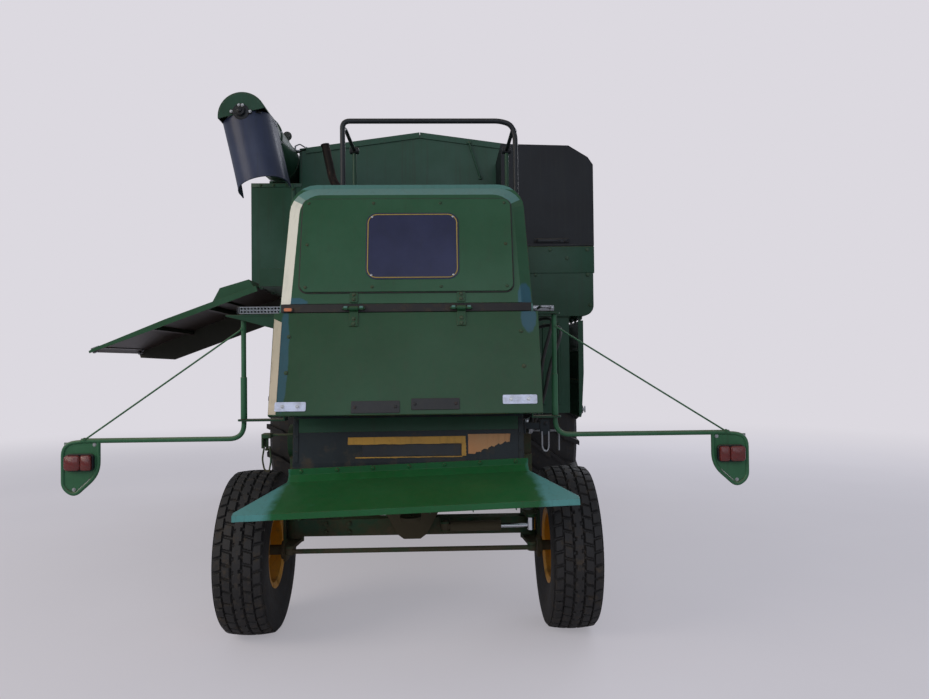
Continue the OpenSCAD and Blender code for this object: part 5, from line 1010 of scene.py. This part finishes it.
def chute(radius):
    """Points of the U: half a circle for the middle share of across, straight walls beyond it; length
    grows from 485 mm at the rear by the square of across to 525 mm where the walls start, and to 537 mm
    at their front edges, and the walls narrow downwards by half."""
    phi = np.clip(across / bend_share, -1, 1) * math.pi / 2
    beyond = np.clip(np.abs(across) - bend_share, 0, None) / (1 - bend_share)
    x, back = radius * np.sin(phi), chute_y - radius * np.cos(phi)
    y = back[:, None] + 184 * beyond[:, None] * (1 - 0.5 * down[None])
    long = 485 + 40 * np.clip(np.abs(across) / bend_share, 0, 1) ** 2 + 12 * beyond ** 1.4
    l = -24 + down[None] * (long[:, None] + 24)
    flare = 1 + 0.03 * down[None] ** 3
    xs = x[:, None] * flare
    return np.stack([auger_x + xs * math.cos(lean) + l * math.sin(lean), y,
        auger_z + xs * math.sin(lean) - l * math.cos(lean)], -1)


outer, inner = chute(190.0), chute(185.5)
spout = skin(np.concatenate([outer, inner[:, ::-1]], 1))
make("auger_spout", [spout], spout_enamel, "auger", crease=40)
edge_line = (outer[:, -1] + inner[:, -1]) / 2
front_edges = [(outer[k] + inner[k])[2:] / 2 for k in (0, -1)]
rims = [pipe(edge_line, 5, 8)] + [pipe(e, 5, 8) for e in front_edges]
make("auger_spout_rim", rims, spout_enamel, "auger", crease=60)
side_bolts = [outer[k, 1] for k in (2, 6, 10, 50, 54, 58)]
side_way = [(-math.cos(lean), 0, -math.sin(lean))] * 3 + [(math.cos(lean), 0, math.sin(lean))] * 3
make("auger_spout_bolts", [hex_bolts([p], d, 14, 7)[0] for p, d in zip(side_bolts, side_way)], zinc_bolts,
    "auger")
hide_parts("auger_tube")

# rest for the tube on the tank's shoulder: a folded bracket with a wear strip and a lock
post = [block((-1130, 2336, 3298), (-1106, 2386, 3610), 3), block((-1150, 2336, 3298), (-1080, 2392, 3308), 2)]
make("auger_rest_post", post, tank_enamel, crease=40)
rest = [block((-1196, 2330, 3606), (-1050, 2392, 3622), 3), block((-1112, 2342, 3560), (-1062, 2380, 3572), 2),
    turned([(14, 0), (14, 30), (9, 34)], (-1070, 2360, 3622), (0, 0, 1), 16),
    turned([(9, 0), (9, 46), (5, 50)], (-1172, 2360, 3622), (0, 0.2, 1), 14),
    pipe([(-1172, 2360, 3664), (-1130, 2360, 3684), (-1092, 2360, 3660), (-1070, 2360, 3646)], 6, 8, bend=14)]
make("auger_rest_bracket", rest, turned_steel, crease=40)
lamp_at = (auger_x + 118, 2180, 3704)
lamp = [turned([(8, -26), (30, -24), (38, 0), (40, 18), (38, 22)], lamp_at, (0.2, -1, -0.35), 28),
    block((auger_x + 102, 2180, 3652), (auger_x + 134, 2192, 3690), 2)]
make("auger_work_lamp", lamp, black_enamel, "auger", crease=40)
make("auger_work_lamp_lens", [turned([(35, 21), (34, 24), (22, 26), (3, 27)], lamp_at, (0.2, -1, -0.35), 28)],
    glass, "auger", crease=40)
lead = [(auger_x + 118, 2205, 3712), (auger_x + 110, 2260, 3690), (auger_x + 96, 2330, 3692),
    (auger_x + 96, 2400, 3684), (auger_x + 96, 3480, 3684)]
clips = [block((auger_x + 82, y, 3674), (auger_x + 110, y + 14, 3690), 2) for y in (2420, 2700, 2980, 3260)]
make("auger_lamp_lead", [pipe(lead, 5, 8, bend=40)] + clips, belt_rubber, "auger", crease=60)

# ---------------------------------------------------------------- exhaust
# A silencer of rolled sheet beside the engine, its inlet pipe, and a leaning stack cut square.
# Heat has scaled its black paint to brown; straps hold it to the deck's frame.
hot_steel = rolled_steel("heat_scaled_steel", "#2b2826", 0.6, 0.55, 0.7, slot="black_paint")
pipe_x, pipe_y = -550, 1420
silencer = turned([(30, 0), (58, 4), (66, 14), (66, 246), (58, 256), (34, 260)], (pipe_x, pipe_y, 2680),
    (0, 0, 1), 36)
stack = pipe([(pipe_x, pipe_y, 2934), (-580, pipe_y, 2985), (-680, pipe_y, 3085), (-742, pipe_y, 3392)], 33, 24,
    bend=60)
inlet = pipe([(-420, pipe_y, 2760), (pipe_x, pipe_y, 2760)], 30, 20)
rings = [turned([(66, 0), (70, 1), (70, 29), (66, 30)], (pipe_x, pipe_y, z), (0, 0, 1), 36)
    for z in (2720, 2880)]
mouth = turned([(33, 0), (36, 1), (36, 12), (31, 12), (30, -40), (3, -41)], (-742, pipe_y, 3383), (-0.2, 0, 1),
    24)
straps = [block((pipe_x - 6, y, 2335), (pipe_x + 6, y + 12, 2700), 2) for y in (1360, 1468)]
pieces = make("exhaust_silencer", [silencer, inlet] + rings + straps, hot_steel, crease=40)
make("exhaust_stack", [stack, mouth], hot_steel, crease=40)
clamp = turned([(33, 0), (39, 1), (39, 23), (33, 24)], (pipe_x, pipe_y, 2926), (0, 0, 1), 24)
make("exhaust_clamp", [clamp] + hex_bolts([(pipe_x + 42, pipe_y - 10, 2938)], (0, -1, 0), 13, 10), zinc_bolts)
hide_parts("exhaust")

# rubber seal strip in the gap between the hood's panel and the flap
make("panel_seal", [block((-688, -479, 1893), (688, -470, 1939), 2)], tyre_rubber, slot="belt_rubber")

# ---------------------------------------------------------------- trim on the body's sheet
# Folded bands, seams and fastenings on the body: a band under the cooling box, its handle strip,
# seams and a stay rod on the tank's rear wall, and a cream strip painted as the sky's highlight on the flap's
# bent left edge.
sky_highlight_enamel = weathered_enamel("painted_sky_highlight_enamel", "#c4b79d", "#a9a58f", dust=0.1, chips=0.5, gloss=0.4,
    streaks=0.3, dents=0.0005)
# the flap's bent left edge: a cream strip that is a painted highlight of the sky
strip = np.array([(-724, 6), (-684, 6), (-680, 520), (-722, 540)], float)
make("flap_left_edge", [plate(strip, 0.1, 1.8, flap_face, 0.5)], sky_highlight_enamel, "flap")
dark_enamel = weathered_enamel("blue_black_enamel", "#0a0e13", "#11171d", dust=0.12, chips=0.2, gloss=0.5,
    streaks=0.2, dents=0.003)
dress(dark_enamel, "screen_housing")

band = [block((700, 1684, 2365), (1500, 2288, 2597), 5)]
make("shoulder_band", band, body_enamel)
screws = [(998, 1689, 2352), (1264, 1683, 2493), (1440, 1682, 2352), (760, 1683, 2566), (1120, 1683, 2566),
    (1440, 1683, 2566), (1460, 1689, 2090), (760, 1689, 2090), (1110, 1689, 2050)]
bolts("shoulder_bolts", screws, (0, -1, 0), 20, 9, frame_enamel, slot="body_paint")
handle = [block((984, 1676, 2626), (1285, 1689, 2664), 4), block((1000, 1668, 2634), (1210, 1678, 2656), 3)]
handle += [turned([(15, 0), (15, 9), (10, 12)], (x, 1680, 2645), (0, -1, 0), 18) for x in (1006, 1256)]
handle += [block((724, 1680, 2600), (1496, 1689, 2612), 2)]
make("cooling_box_handle", handle, black_enamel)
hasp = [block((1480, y, 2590), (1500, y + 60, 2640), 2) for y in (1760, 2160)]
make("cooling_box_hasps", hasp, turned_steel)

# tank: seam flanges on the rear wall with their bolts, beads down its corners, the stay rod on the gable
seams = [block((x - 14, 2290, 2345), (x + 14, 2300, 3296), 2) for x in (-1180, 1180)]
seams += [block((-1560, 2292, 3262), (-1102, 2300, 3294), 2), block((1102, 2292, 3262), (1560, 2300, 3294), 2)]
seams += [pipe([(s * 1567, 2303, 2345), (s * 1567, 2303, 3297)], 4, 8) for s in (-1, 1)]
make("tank_seams", seams, tank_enamel)
seam_bolts = [(x, 2289.5, z) for x in (-1180, 1180) for z in range(2400, 3260, 120)]
seam_bolts += [(s * x, 2291.5, 3278) for s in (-1, 1) for x in (1240, 1360, 1480)]
bolts("tank_bolts", seam_bolts, (0, -1, 0), 15, 7, frame_enamel, slot="body_paint")
rod = [pipe([(455, 2285, 3676), (463, 2281, 3668), (561, 2281, 3352), (561, 2290, 3340)], 8, 10, bend=8),
    block((440, 2280, 3664), (486, 2302, 3684), 2), block((548, 2280, 3330), (580, 2302, 3352), 2)]
make("gable_stay_rod", rod, tank_enamel)

# chopper: the green upper sheet behind the flap's foot, lapped over the housing
lap = np.array([(-646, 170), (646, 176), (646, 252), (-646, 252)], float)
make("chopper_upper_sheet", [plate(lap, 0.1, 2.4, chopper_face, 0.8)], body_enamel)

# sheet between the body's right side and the side door, hung from the shoulder, with pressed ribs
shield_face = axes_at((0, 1716, 0))
shield = [plate(rounded(550, 830, 12, 4, (1005, 1586)), 0, 3, shield_face, 1)]
shield += [plate(rounded(26, 700, 12, 5, (x, 1590)), 2.5, 14, shield_face, 5) for x in (800, 930, 1060, 1190)]
shield += [block((722, 1704, 1988), (1288, 1722, 2001), 2)]
make("right_side_shield", shield, body_enamel)

# ---------------------------------------------------------------- hoses and rods at the hood's right
# Hydraulic hoses with crimped steel ends run from the frame rail up the body's side, held by
# clips; beside them run the throttle rods, and a pull handle sits under the body's right shoulder.
hose_rubber = vulcanised_rubber("wire_braid_hose_rubber", "#151515", "#242322", 2.0)
routes = [[(716, -60, 1180), (760, -150, 1400), (800, -120, 1640), (860, -20, 1800), (900, 120, 1880),
    (860, 260, 1900), (720, 330, 1850)], [(726, -30, 1180), (800, -110, 1380), (850, -80, 1600),
    (930, 40, 1760), (960, 180, 1830), (900, 320, 1860), (720, 400, 1800)],
    [(712, 10, 1180), (770, -20, 1360), (790, 60, 1560), (820, 160, 1680), (760, 300, 1700), (720, 340, 1690)]]
make("side_hoses", [pipe(r, 11, 12, bend=90, steps=8) for r in routes], hose_rubber, crease=60)
crimps = [turned([(9, -2), (14, 0), (14, 44), (11, 46), (11, 58), (9, 60)], r[0], np.subtract(r[1], r[0]), 12)
    for r in routes]
crimps += [turned([(9, -2), (14, 0), (14, 44), (11, 46)], r[-1], np.subtract(r[-2], r[-1]), 12) for r in routes]
make("side_hose_crimps", crimps, zinc_bolts, crease=40)
clip = [block((700, y, z), (760, y + 26, z + 5), 2) for y, z in ((316, 1862), (330, 1700), (386, 1812))]
clip += [block((698, 300, 1670), (704, 430, 1900), 2)]
make("side_hose_clips", clip, frame_enamel)
rods = [pipe([(722, 250, 1210), (790, 250, 1260), (790, 250, 1500), (740, 250, 1640)], 7, 10, bend=40),
    pipe([(722, 290, 1225), (822, 290, 1262), (822, 290, 1470), (740, 290, 1600)], 6, 10, bend=40)]
rods += [block((722, 236, 1196), (750, 304, 1236), 3), block((712, 236, 1590), (746, 304, 1656), 3)]
make("throttle_rods", rods, turned_steel, crease=50)
pull = [pipe([(742, -330, 1916), (748, -392, 1922), (808, -392, 1922), (812, -330, 1916)], 8, 10, bend=16),
    block((700, -336, 1900), (836, -326, 1934), 3)]
make("hood_pull_handle", pull, turned_steel, crease=50)

# ---------------------------------------------------------------- side doors and rotary screen
# Latches of the left side door: bent steel hooks with turned knobs on the door's free edge and a
# pull rod between them. The right door has two turn latches. The cooling drum has a wire screen.
opening = math.radians(70)
down_open = np.array([-math.sin(opening), 0, -math.cos(opening)])
door_in = np.array([math.cos(opening), 0, -math.sin(opening)])
left_door = axes_at((-1200, 1100, 2210), (0, 1, 0), down_open, door_in)
hooks = []
for y in (44, 868):
    hooks += [block((y - 17, 1300, -6), (y + 17, 1364, 2), 2, left_door),
        block((y - 13, 1346, 0), (y + 13, 1363, 34), 3, left_door),
        block((y - 13, 1322, 28), (y + 13, 1362, 36), 2, left_door),
        turned([(9, 0), (13, 3), (13, 16), (9, 20), (4, 21)], put([[y, 1318, 2]], left_door)[0], door_in, 16)]
hooks += [pipe(put([[44, 1318, 14], [70, 1290, 14], [842, 1290, 14], [868, 1318, 14]], left_door), 6, 10,
    bend=24)]
make("left_door_latches", hooks, turned_steel, "door_left", crease=40)
shells = [plate(rounded(150, 150, 24, 5, (460, 1150)), -1, 3, left_door, 1.2),
    plate(rounded(700, 60, 10, 4, (460, 330)), -4, 10, left_door, 3)]
make("left_door_doubler", shells, door_enamel, "door_left")
right_door = axes_at((1385, 1700, 1985), (0, 1, 0), (0, 0, -1), (1, 0, 0))
turn = [turned([(34, 14), (36, 17), (36, 20), (30, 22), (13, 22), (12, 36), (9, 38)],
    put([[y, 790, 0]], right_door)[0], (1, 0, 0), 28) for y in (110, 850)]
turn += [block((y - 7, 762, 34), (y + 7, 818, 46), 3, right_door) for y in (110, 850)]
make("right_door_latches", turn, zinc_bolts, "door_right", crease=40)

# wire screen across the cooling drum: rings and radial wires, and the drum's hub
y0, z0 = 1995, 2990
wires = []
for r in range(66, 250, 13):
    a = ring(72)
    loop = np.stack([np.full(72, 1476.0), y0 + r * np.cos(a), z0 + r * np.sin(a)], -1)
    wires.append(pipe(loop, 1.4, 6, closed=True))
for a in ring(48):
    d = np.array([0, math.cos(a), math.sin(a)])
    wires.append(pipe([np.array([1474.0, y0, z0]) + d * 58, np.array([1474.0, y0, z0]) + d * 250], 1.2, 6))
make("rotary_screen_wires", wires, turned_steel, "screen", crease=60)
hub = [turned([(50, 0), (54, 2), (54, 8), (40, 14), (22, 17), (20, 24), (8, 26)], (1508, y0, z0), (1, 0, 0),
    32)]
make("rotary_screen_hub", hub, turned_steel, "screen", crease=40)
frame_bolts = [(1500, y0 + 285 * math.cos(a), z0 + 285 * math.sin(a)) for a in ring(12, 0.26)]
bolts("screen_rim_bolts", frame_bolts, (1, 0, 0), 13, 6)

# ---------------------------------------------------------------- engine
# The engine under its black covers: louvred side panels, a ribbed top cover, the air cleaner with its
# hose, and the fuel and oil fillers. Pressed and painted sheet, moulded caps.
covers = [block((s * 426 - 5, y, 2440), (s * 426 + 5, y + 34, 2700), 4) for y in range(1290, 2074, 56)
    for s in (-1, 1)]
covers += [block((s * 425 - 6, 1240, z), (s * 425 + 6, 2110, z + 16), 3) for s in (-1, 1) for z in (2412, 2716)]
covers += [block((-370, y, 2899), (370, y + 40, 2912), 6) for y in range(1260, 1560, 90)]
make("engine_louvres", covers, black_enamel, crease=50)
air = [turned([(20, -8), (52, -6), (58, 0), (58, 60), (61, 62), (61, 72), (58, 74), (58, 330), (50, 340),
    (24, 344)], (210, 1640, 2961), (0, 1, 0), 36)]
air += [block((150, y, 2899), (270, y + 26, 2914), 3) for y in (1700, 1880)]
air += [pipe([(210, 1984, 2961), (210, 2030, 2958), (150, 2080, 2940), (80, 2090, 2900)], 26, 16, bend=60)]
make("air_cleaner", air, black_enamel, crease=40)
caps = [turned([(34, 0), (34, 22), (38, 24), (38, 44), (32, 50), (6, 52)], (x, y, 2899), (0, 0, 1), 30)
    for x, y in ((-250, 1750), (-120, 1980))]
caps += [pipe([(-330, 1500, 2899), (-330, 1500, 2950), (-330, 1600, 2950), (-330, 1600, 2899)], 7, 10, bend=16)]
make("engine_fillers", caps, belt_rubber, crease=40)

# ---------------------------------------------------------------- cab fittings
# Moulded rubber glazing seals, a wiper, work lamps and ribs on the roof and a handle on the door;
# inside, two vinyl-covered foam cushions with sewn channels on the seat, and a console with levers.
panes = [[(-756, 5596, 2069), (756, 5596, 2069), (756, 5596, 3431), (-756, 5596, 3431)],
    [(-676, 4134, 2649), (676, 4134, 2649), (676, 4134, 3301), (-676, 4134, 3301)],
    [(822, 4249, 2369), (822, 5551, 2369), (822, 5551, 3431), (822, 4249, 3431)]]
seals = [pipe(pane, 8, 8, bend=40, closed=True) for pane in panes]
make("cab_window_seals", seals, belt_rubber, crease=60)
make("cab_door_seal", [pipe([(-822, 4721, 2097), (-822, 5329, 2097), (-822, 5329, 3359), (-822, 4721, 3359)], 7,
    8, bend=40, closed=True)], belt_rubber, "cab_door", crease=60)
wiper = [block((-60, 5600, 3436), (60, 5640, 3490), 8), turned([(16, 0), (16, 20), (10, 26)], (0, 5625, 3436),
    (0, 0, -1), 20), pipe([(0, 5634, 3440), (0, 5640, 3380), (-330, 5622, 2800)], 6, 8, bend=40)]
middle, along = np.array([-330, 5614, 2800.0]), np.array([-0.12, 0, 0.99])
wiper += [pipe([middle - along * 300, middle + along * 300], 5, 8)]
wiper += [block((-336, 5606, 2524), (-324, 5612, 2560), 2)]
make("windscreen_wiper", wiper, black_enamel, crease=50)
lamps, lens = [], []
for x in (-700, -520, 520, 700):
    lamps += [turned([(20, -44), (56, -38), (64, -20), (66, 14), (60, 18)], (x, 5684, 3432), (0, 1, -0.2), 32),
        block((x - 14, 5640, 3470), (x + 14, 5690, 3501), 3)]
    lens.append(turned([(58, 13), (57, 18), (40, 23), (4, 26)], (x, 5684, 3432), (0, 1, -0.2), 32))
make("cab_roof_lamps", lamps, black_enamel, crease=40)
make("cab_roof_lamp_lenses", lens, reflector, crease=40)
beads = [pipe([(-806, 4119, 3611), (806, 4119, 3611), (806, 5681, 3611), (-806, 5681, 3611)], 6, 8, bend=60,
    closed=True)]
beads += [block((x - 20, 4160, 3608), (x + 20, 5640, 3618), 4) for x in (-520, -260, 0, 260, 520)]
make("cab_roof_ribs", beads, tank_enamel, crease=50)
handle = [pipe([(-826, 5362, 2640), (-868, 5362, 2650), (-868, 5362, 2980), (-826, 5362, 2990)], 9, 12,
    bend=26), *[turned([(22, 0), (22, 7), (16, 10)], (-825, 5362, z), (-1, 0, 0), 20) for z in (2640, 2990)],
    block((-838, 5344, 2560), (-824, 5384, 2610), 4), turned([(10, 0), (10, 16), (7, 18)], (-838, 5364, 2585),
    (-1, 0, 0), 18)]
make("cab_door_handle", handle, black_enamel, "cab_door", crease=50)


def cushion(middle, half, axes, channels, pinch=0.06):
    """A crowned closed pad: a superellipsoid of exponents 0.28 round it, and 0.55 and 0.75 through it,
    whose sides pull in between the corners by pinch and whose faces dip 7 mm at each sewn channel."""
    v, u = np.meshgrid(np.linspace(-math.pi / 2 + 0.04, math.pi / 2 - 0.04, 40), ring(96), indexing="ij")
    power = lambda a, e: np.sign(a) * np.abs(a) ** e
    x = power(np.cos(v), 0.55) * power(np.cos(u), 0.28)
    y = power(np.cos(v), 0.55) * power(np.sin(u), 0.28)
    z = power(np.sin(v), 0.75)
    x, y = x * (1 - pinch * (1 - y * y)), y * (1 - pinch * (1 - x * x))
    dip = sum(np.exp(-((y - c) * half[1] / 7) ** 2) for c in channels)
    depth = z * half[2] * (1 - 0.16 * np.maximum(x * x, y * y)) - np.sign(z) * 7 * dip * np.abs(z)
    local = np.stack([middle[0] + x * half[0], middle[1] + y * half[1], middle[2] + depth], -1)
    return skin(put(local, axes))


vinyl = vulcanised_rubber("grained_vinyl", "#1c1a18", "#332f2b", 0.6, slot="seat_cover")
seat_axes = axes_at((0, 4815, 2418), up=(0, 1, 0), out=(0, 0, 1))
lean_back = np.array([0, -80, 570.0]) / math.hypot(80, 570)
back_axes = axes_at((0, 4604, 2430), up=lean_back, out=(0, lean_back[2], -lean_back[1]))
make("seat_cushion", [cushion((0, 0, 40), (240, 196, 40), seat_axes, (-0.45, 0.0, 0.45))], vinyl,
    crease=60)
make("seat_back_cushion", [cushion((0, 300, 38), (236, 240, 36), back_axes, (-0.5, -0.1, 0.3))],
    vinyl, crease=60)
console = [block((330, 4560, 2000), (520, 5060, 2560), 14), block((322, 4700, 2556), (528, 5040, 2600), 10)]
levers = ((370, 4800), (430, 4800), (490, 4800), (400, 4930))
console += [pipe([(x, y, 2596), (x, y + 30, 2720)], 7, 10) for x, y in levers]
console += [turned([(8, 0), (20, 8), (23, 22), (18, 36), (6, 40)], (x, y + 30, 2716), (0, 0.2, 1), 20)
    for x, y in levers]
make("cab_console", console, black_enamel, crease=50)

# ---------------------------------------------------------------- platform and ladder
# The raised pattern of the platform's chequer plate, and rows of punched grip collars on the ladder's
# pressed treads. Hot-rolled steel, painted.
pitch = 46.0
x, y = np.meshgrid(np.arange(-1570, -850, pitch), np.arange(4326, 5486, pitch), indexing="ij")
grip = []
for cx, cy in zip(x.reshape(-1), y.reshape(-1)):
    w, l = (15, 5) if (round(cx / pitch) + round(cy / pitch)) % 2 else (5, 15)
    oval, small = (np.stack([cx + k * w * np.cos(ring(8)), cy + k * l * np.sin(ring(8))], -1) for k in (1, 0.5))
    rows = ((oval, 1949.5), (oval, 1951), (small, 1952.5))
    grip.append(skin(np.stack([np.concatenate([o, np.full((8, 1), z)], 1) for o, z in rows])))
make("platform_chequer", grip, frame_enamel, crease=60)
treads = []
for i in range(5):
    x0, z0 = -1750 + 20 * i, 520 + 300 * i
    treads += [turned([(13, -1), (13, 4), (10, 6), (9, 2)], (x0 + dx, y, z0), (0, 0, 1), 14) for dx in (30, 80)
        for y in range(4830, 5220, 60)]
make("ladder_tread_grips", treads, frame_enamel, crease=50)

# ---------------------------------------------------------------- drives
# Hubs and bolts of the belt pulleys on the left, the grain elevator's hatches and flange bolts on the
# right, and the bolts along both frame rails. Turned and zinc-plated steel, and pressed sheet.
hubs, nuts = [], []
pulleys = ((1900, 1780, 290, 30), (1330, 1420, 150, 30), (2420, 1500, 120, 30), (2100, 1350, 130, 90))
for py, pz, r, off in pulleys:
    x = -650 - off - 20
    hubs.append(turned([(r * 0.3, -6), (r * 0.3, 6), (r * 0.24, 12), (22, 14), (20, 26), (12, 28)], (x, py, pz),
        (-1, 0, 0), 32))
    nuts += [(x - 8, py + r * 0.22 * math.cos(a), pz + r * 0.22 * math.sin(a)) for a in ring(4, 0.5)]
make("pulley_hubs", hubs, turned_steel, crease=40)
bolts("pulley_bolts", nuts, (-1, 0, 0), 12, 8, washer=False)
flange = [(912, y, z) for y in (2440, 2640) for z in (1150, 1450, 1750, 2050)]
bolts("elevator_bolts", flange, (1, 0, 0), 14, 7)
hatch = [block((909, 2330, 860), (918, 2500, 1000), 4), block((916, 2400, 900), (926, 2430, 960), 3),
    block((909, 2448, 1500), (916, 2632, 1720), 4)]
make("elevator_hatches", hatch, body_enamel)
for s, word in sides:
    along_rail = [(s * 731, y, 1110) for y in (60, 180, 500, 860, 1220, 1580, 2700, 3060, 3420, 3960)]
    bolts(f"rail_bolts_{word}", along_rail, (s, 0, 0), 20, 10)

# ---------------------------------------------------------------- feeder house
# Slat conveyor in the feeder: three roller chains with channel slats riveted across, bearing
# flanges on its sides and bolts round its mouth. Pressed and rolled steel, bright where crop runs.
tilt = math.radians(19)
feeder_axes = axes_at((0, 4260, 1450), up=(0, math.cos(tilt), -math.sin(tilt)),
    out=(0, math.sin(tilt), math.cos(tilt)))
links = [block((x - w, 110 + 44 * i, s * 92 - 6), (x + w, 158 + 44 * i, s * 92 + 6), 3, feeder_axes)
    for x in (-400, 0, 400) for s in (-1, 1) for i in range(34) for w in (9 if i % 2 else 12,)]
make("feeder_chains", links, turned_steel, "feeder", crease=50)
slats = []
for high, thick, long, edge in ((104, 6, 34, 3), (110, 16, 7, 2)):
    slats += [block((-470, 150 + 220 * i, s * high - thick), (470, 150 + long + 220 * i, s * high + thick),
        edge, feeder_axes) for s in (-1, 1) for i in range(7)]
make("feeder_slats", slats, turned_steel, "feeder", crease=50)
bearings = [turned([(58, 0), (62, 3), (62, 10), (40, 14), (34, 30), (14, 34)],
    put([[s * 550, 1630, 0]], feeder_axes)[0], (s, 0, 0), 32) for s in (-1, 1)]
make("feeder_bearings", bearings, frame_enamel, "feeder", crease=40)
mouth = put([[x, 1890, 335] for x in (-560, -300, 0, 300, 560)] + [[s * 575, 1890, z] for s in (-1, 1)
    for z in (-120, 60, 240)], feeder_axes)
bolts("feeder_mouth_bolts", mouth, feeder_axes[2], 18, 9, body="feeder")

# ---------------------------------------------------------------- steering axle fittings
# Caps with grease nipples on the king pins, and the bolts of the axle's pads.
for s, word in sides:
    cap = [turned([(34, -6), (36, 2), (34, 10), (12, 13), (6, 14), (6, 20), (4, 24)], (s * 710, 0, 700),
        (0, 0, 1), 24)]
    make(f"king_pin_cap_{word}", cap, zinc_bolts, f"knuckle_{word}", crease=40)
pads = [(x, -51, z) for x in (-520, -380, 380, 520) for z in (596, 646)]
bolts("axle_bolts", pads, (0, -1, 0), 20, 10, axle_enamel)

# ---------------------------------------------------------------- finish
low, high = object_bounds()
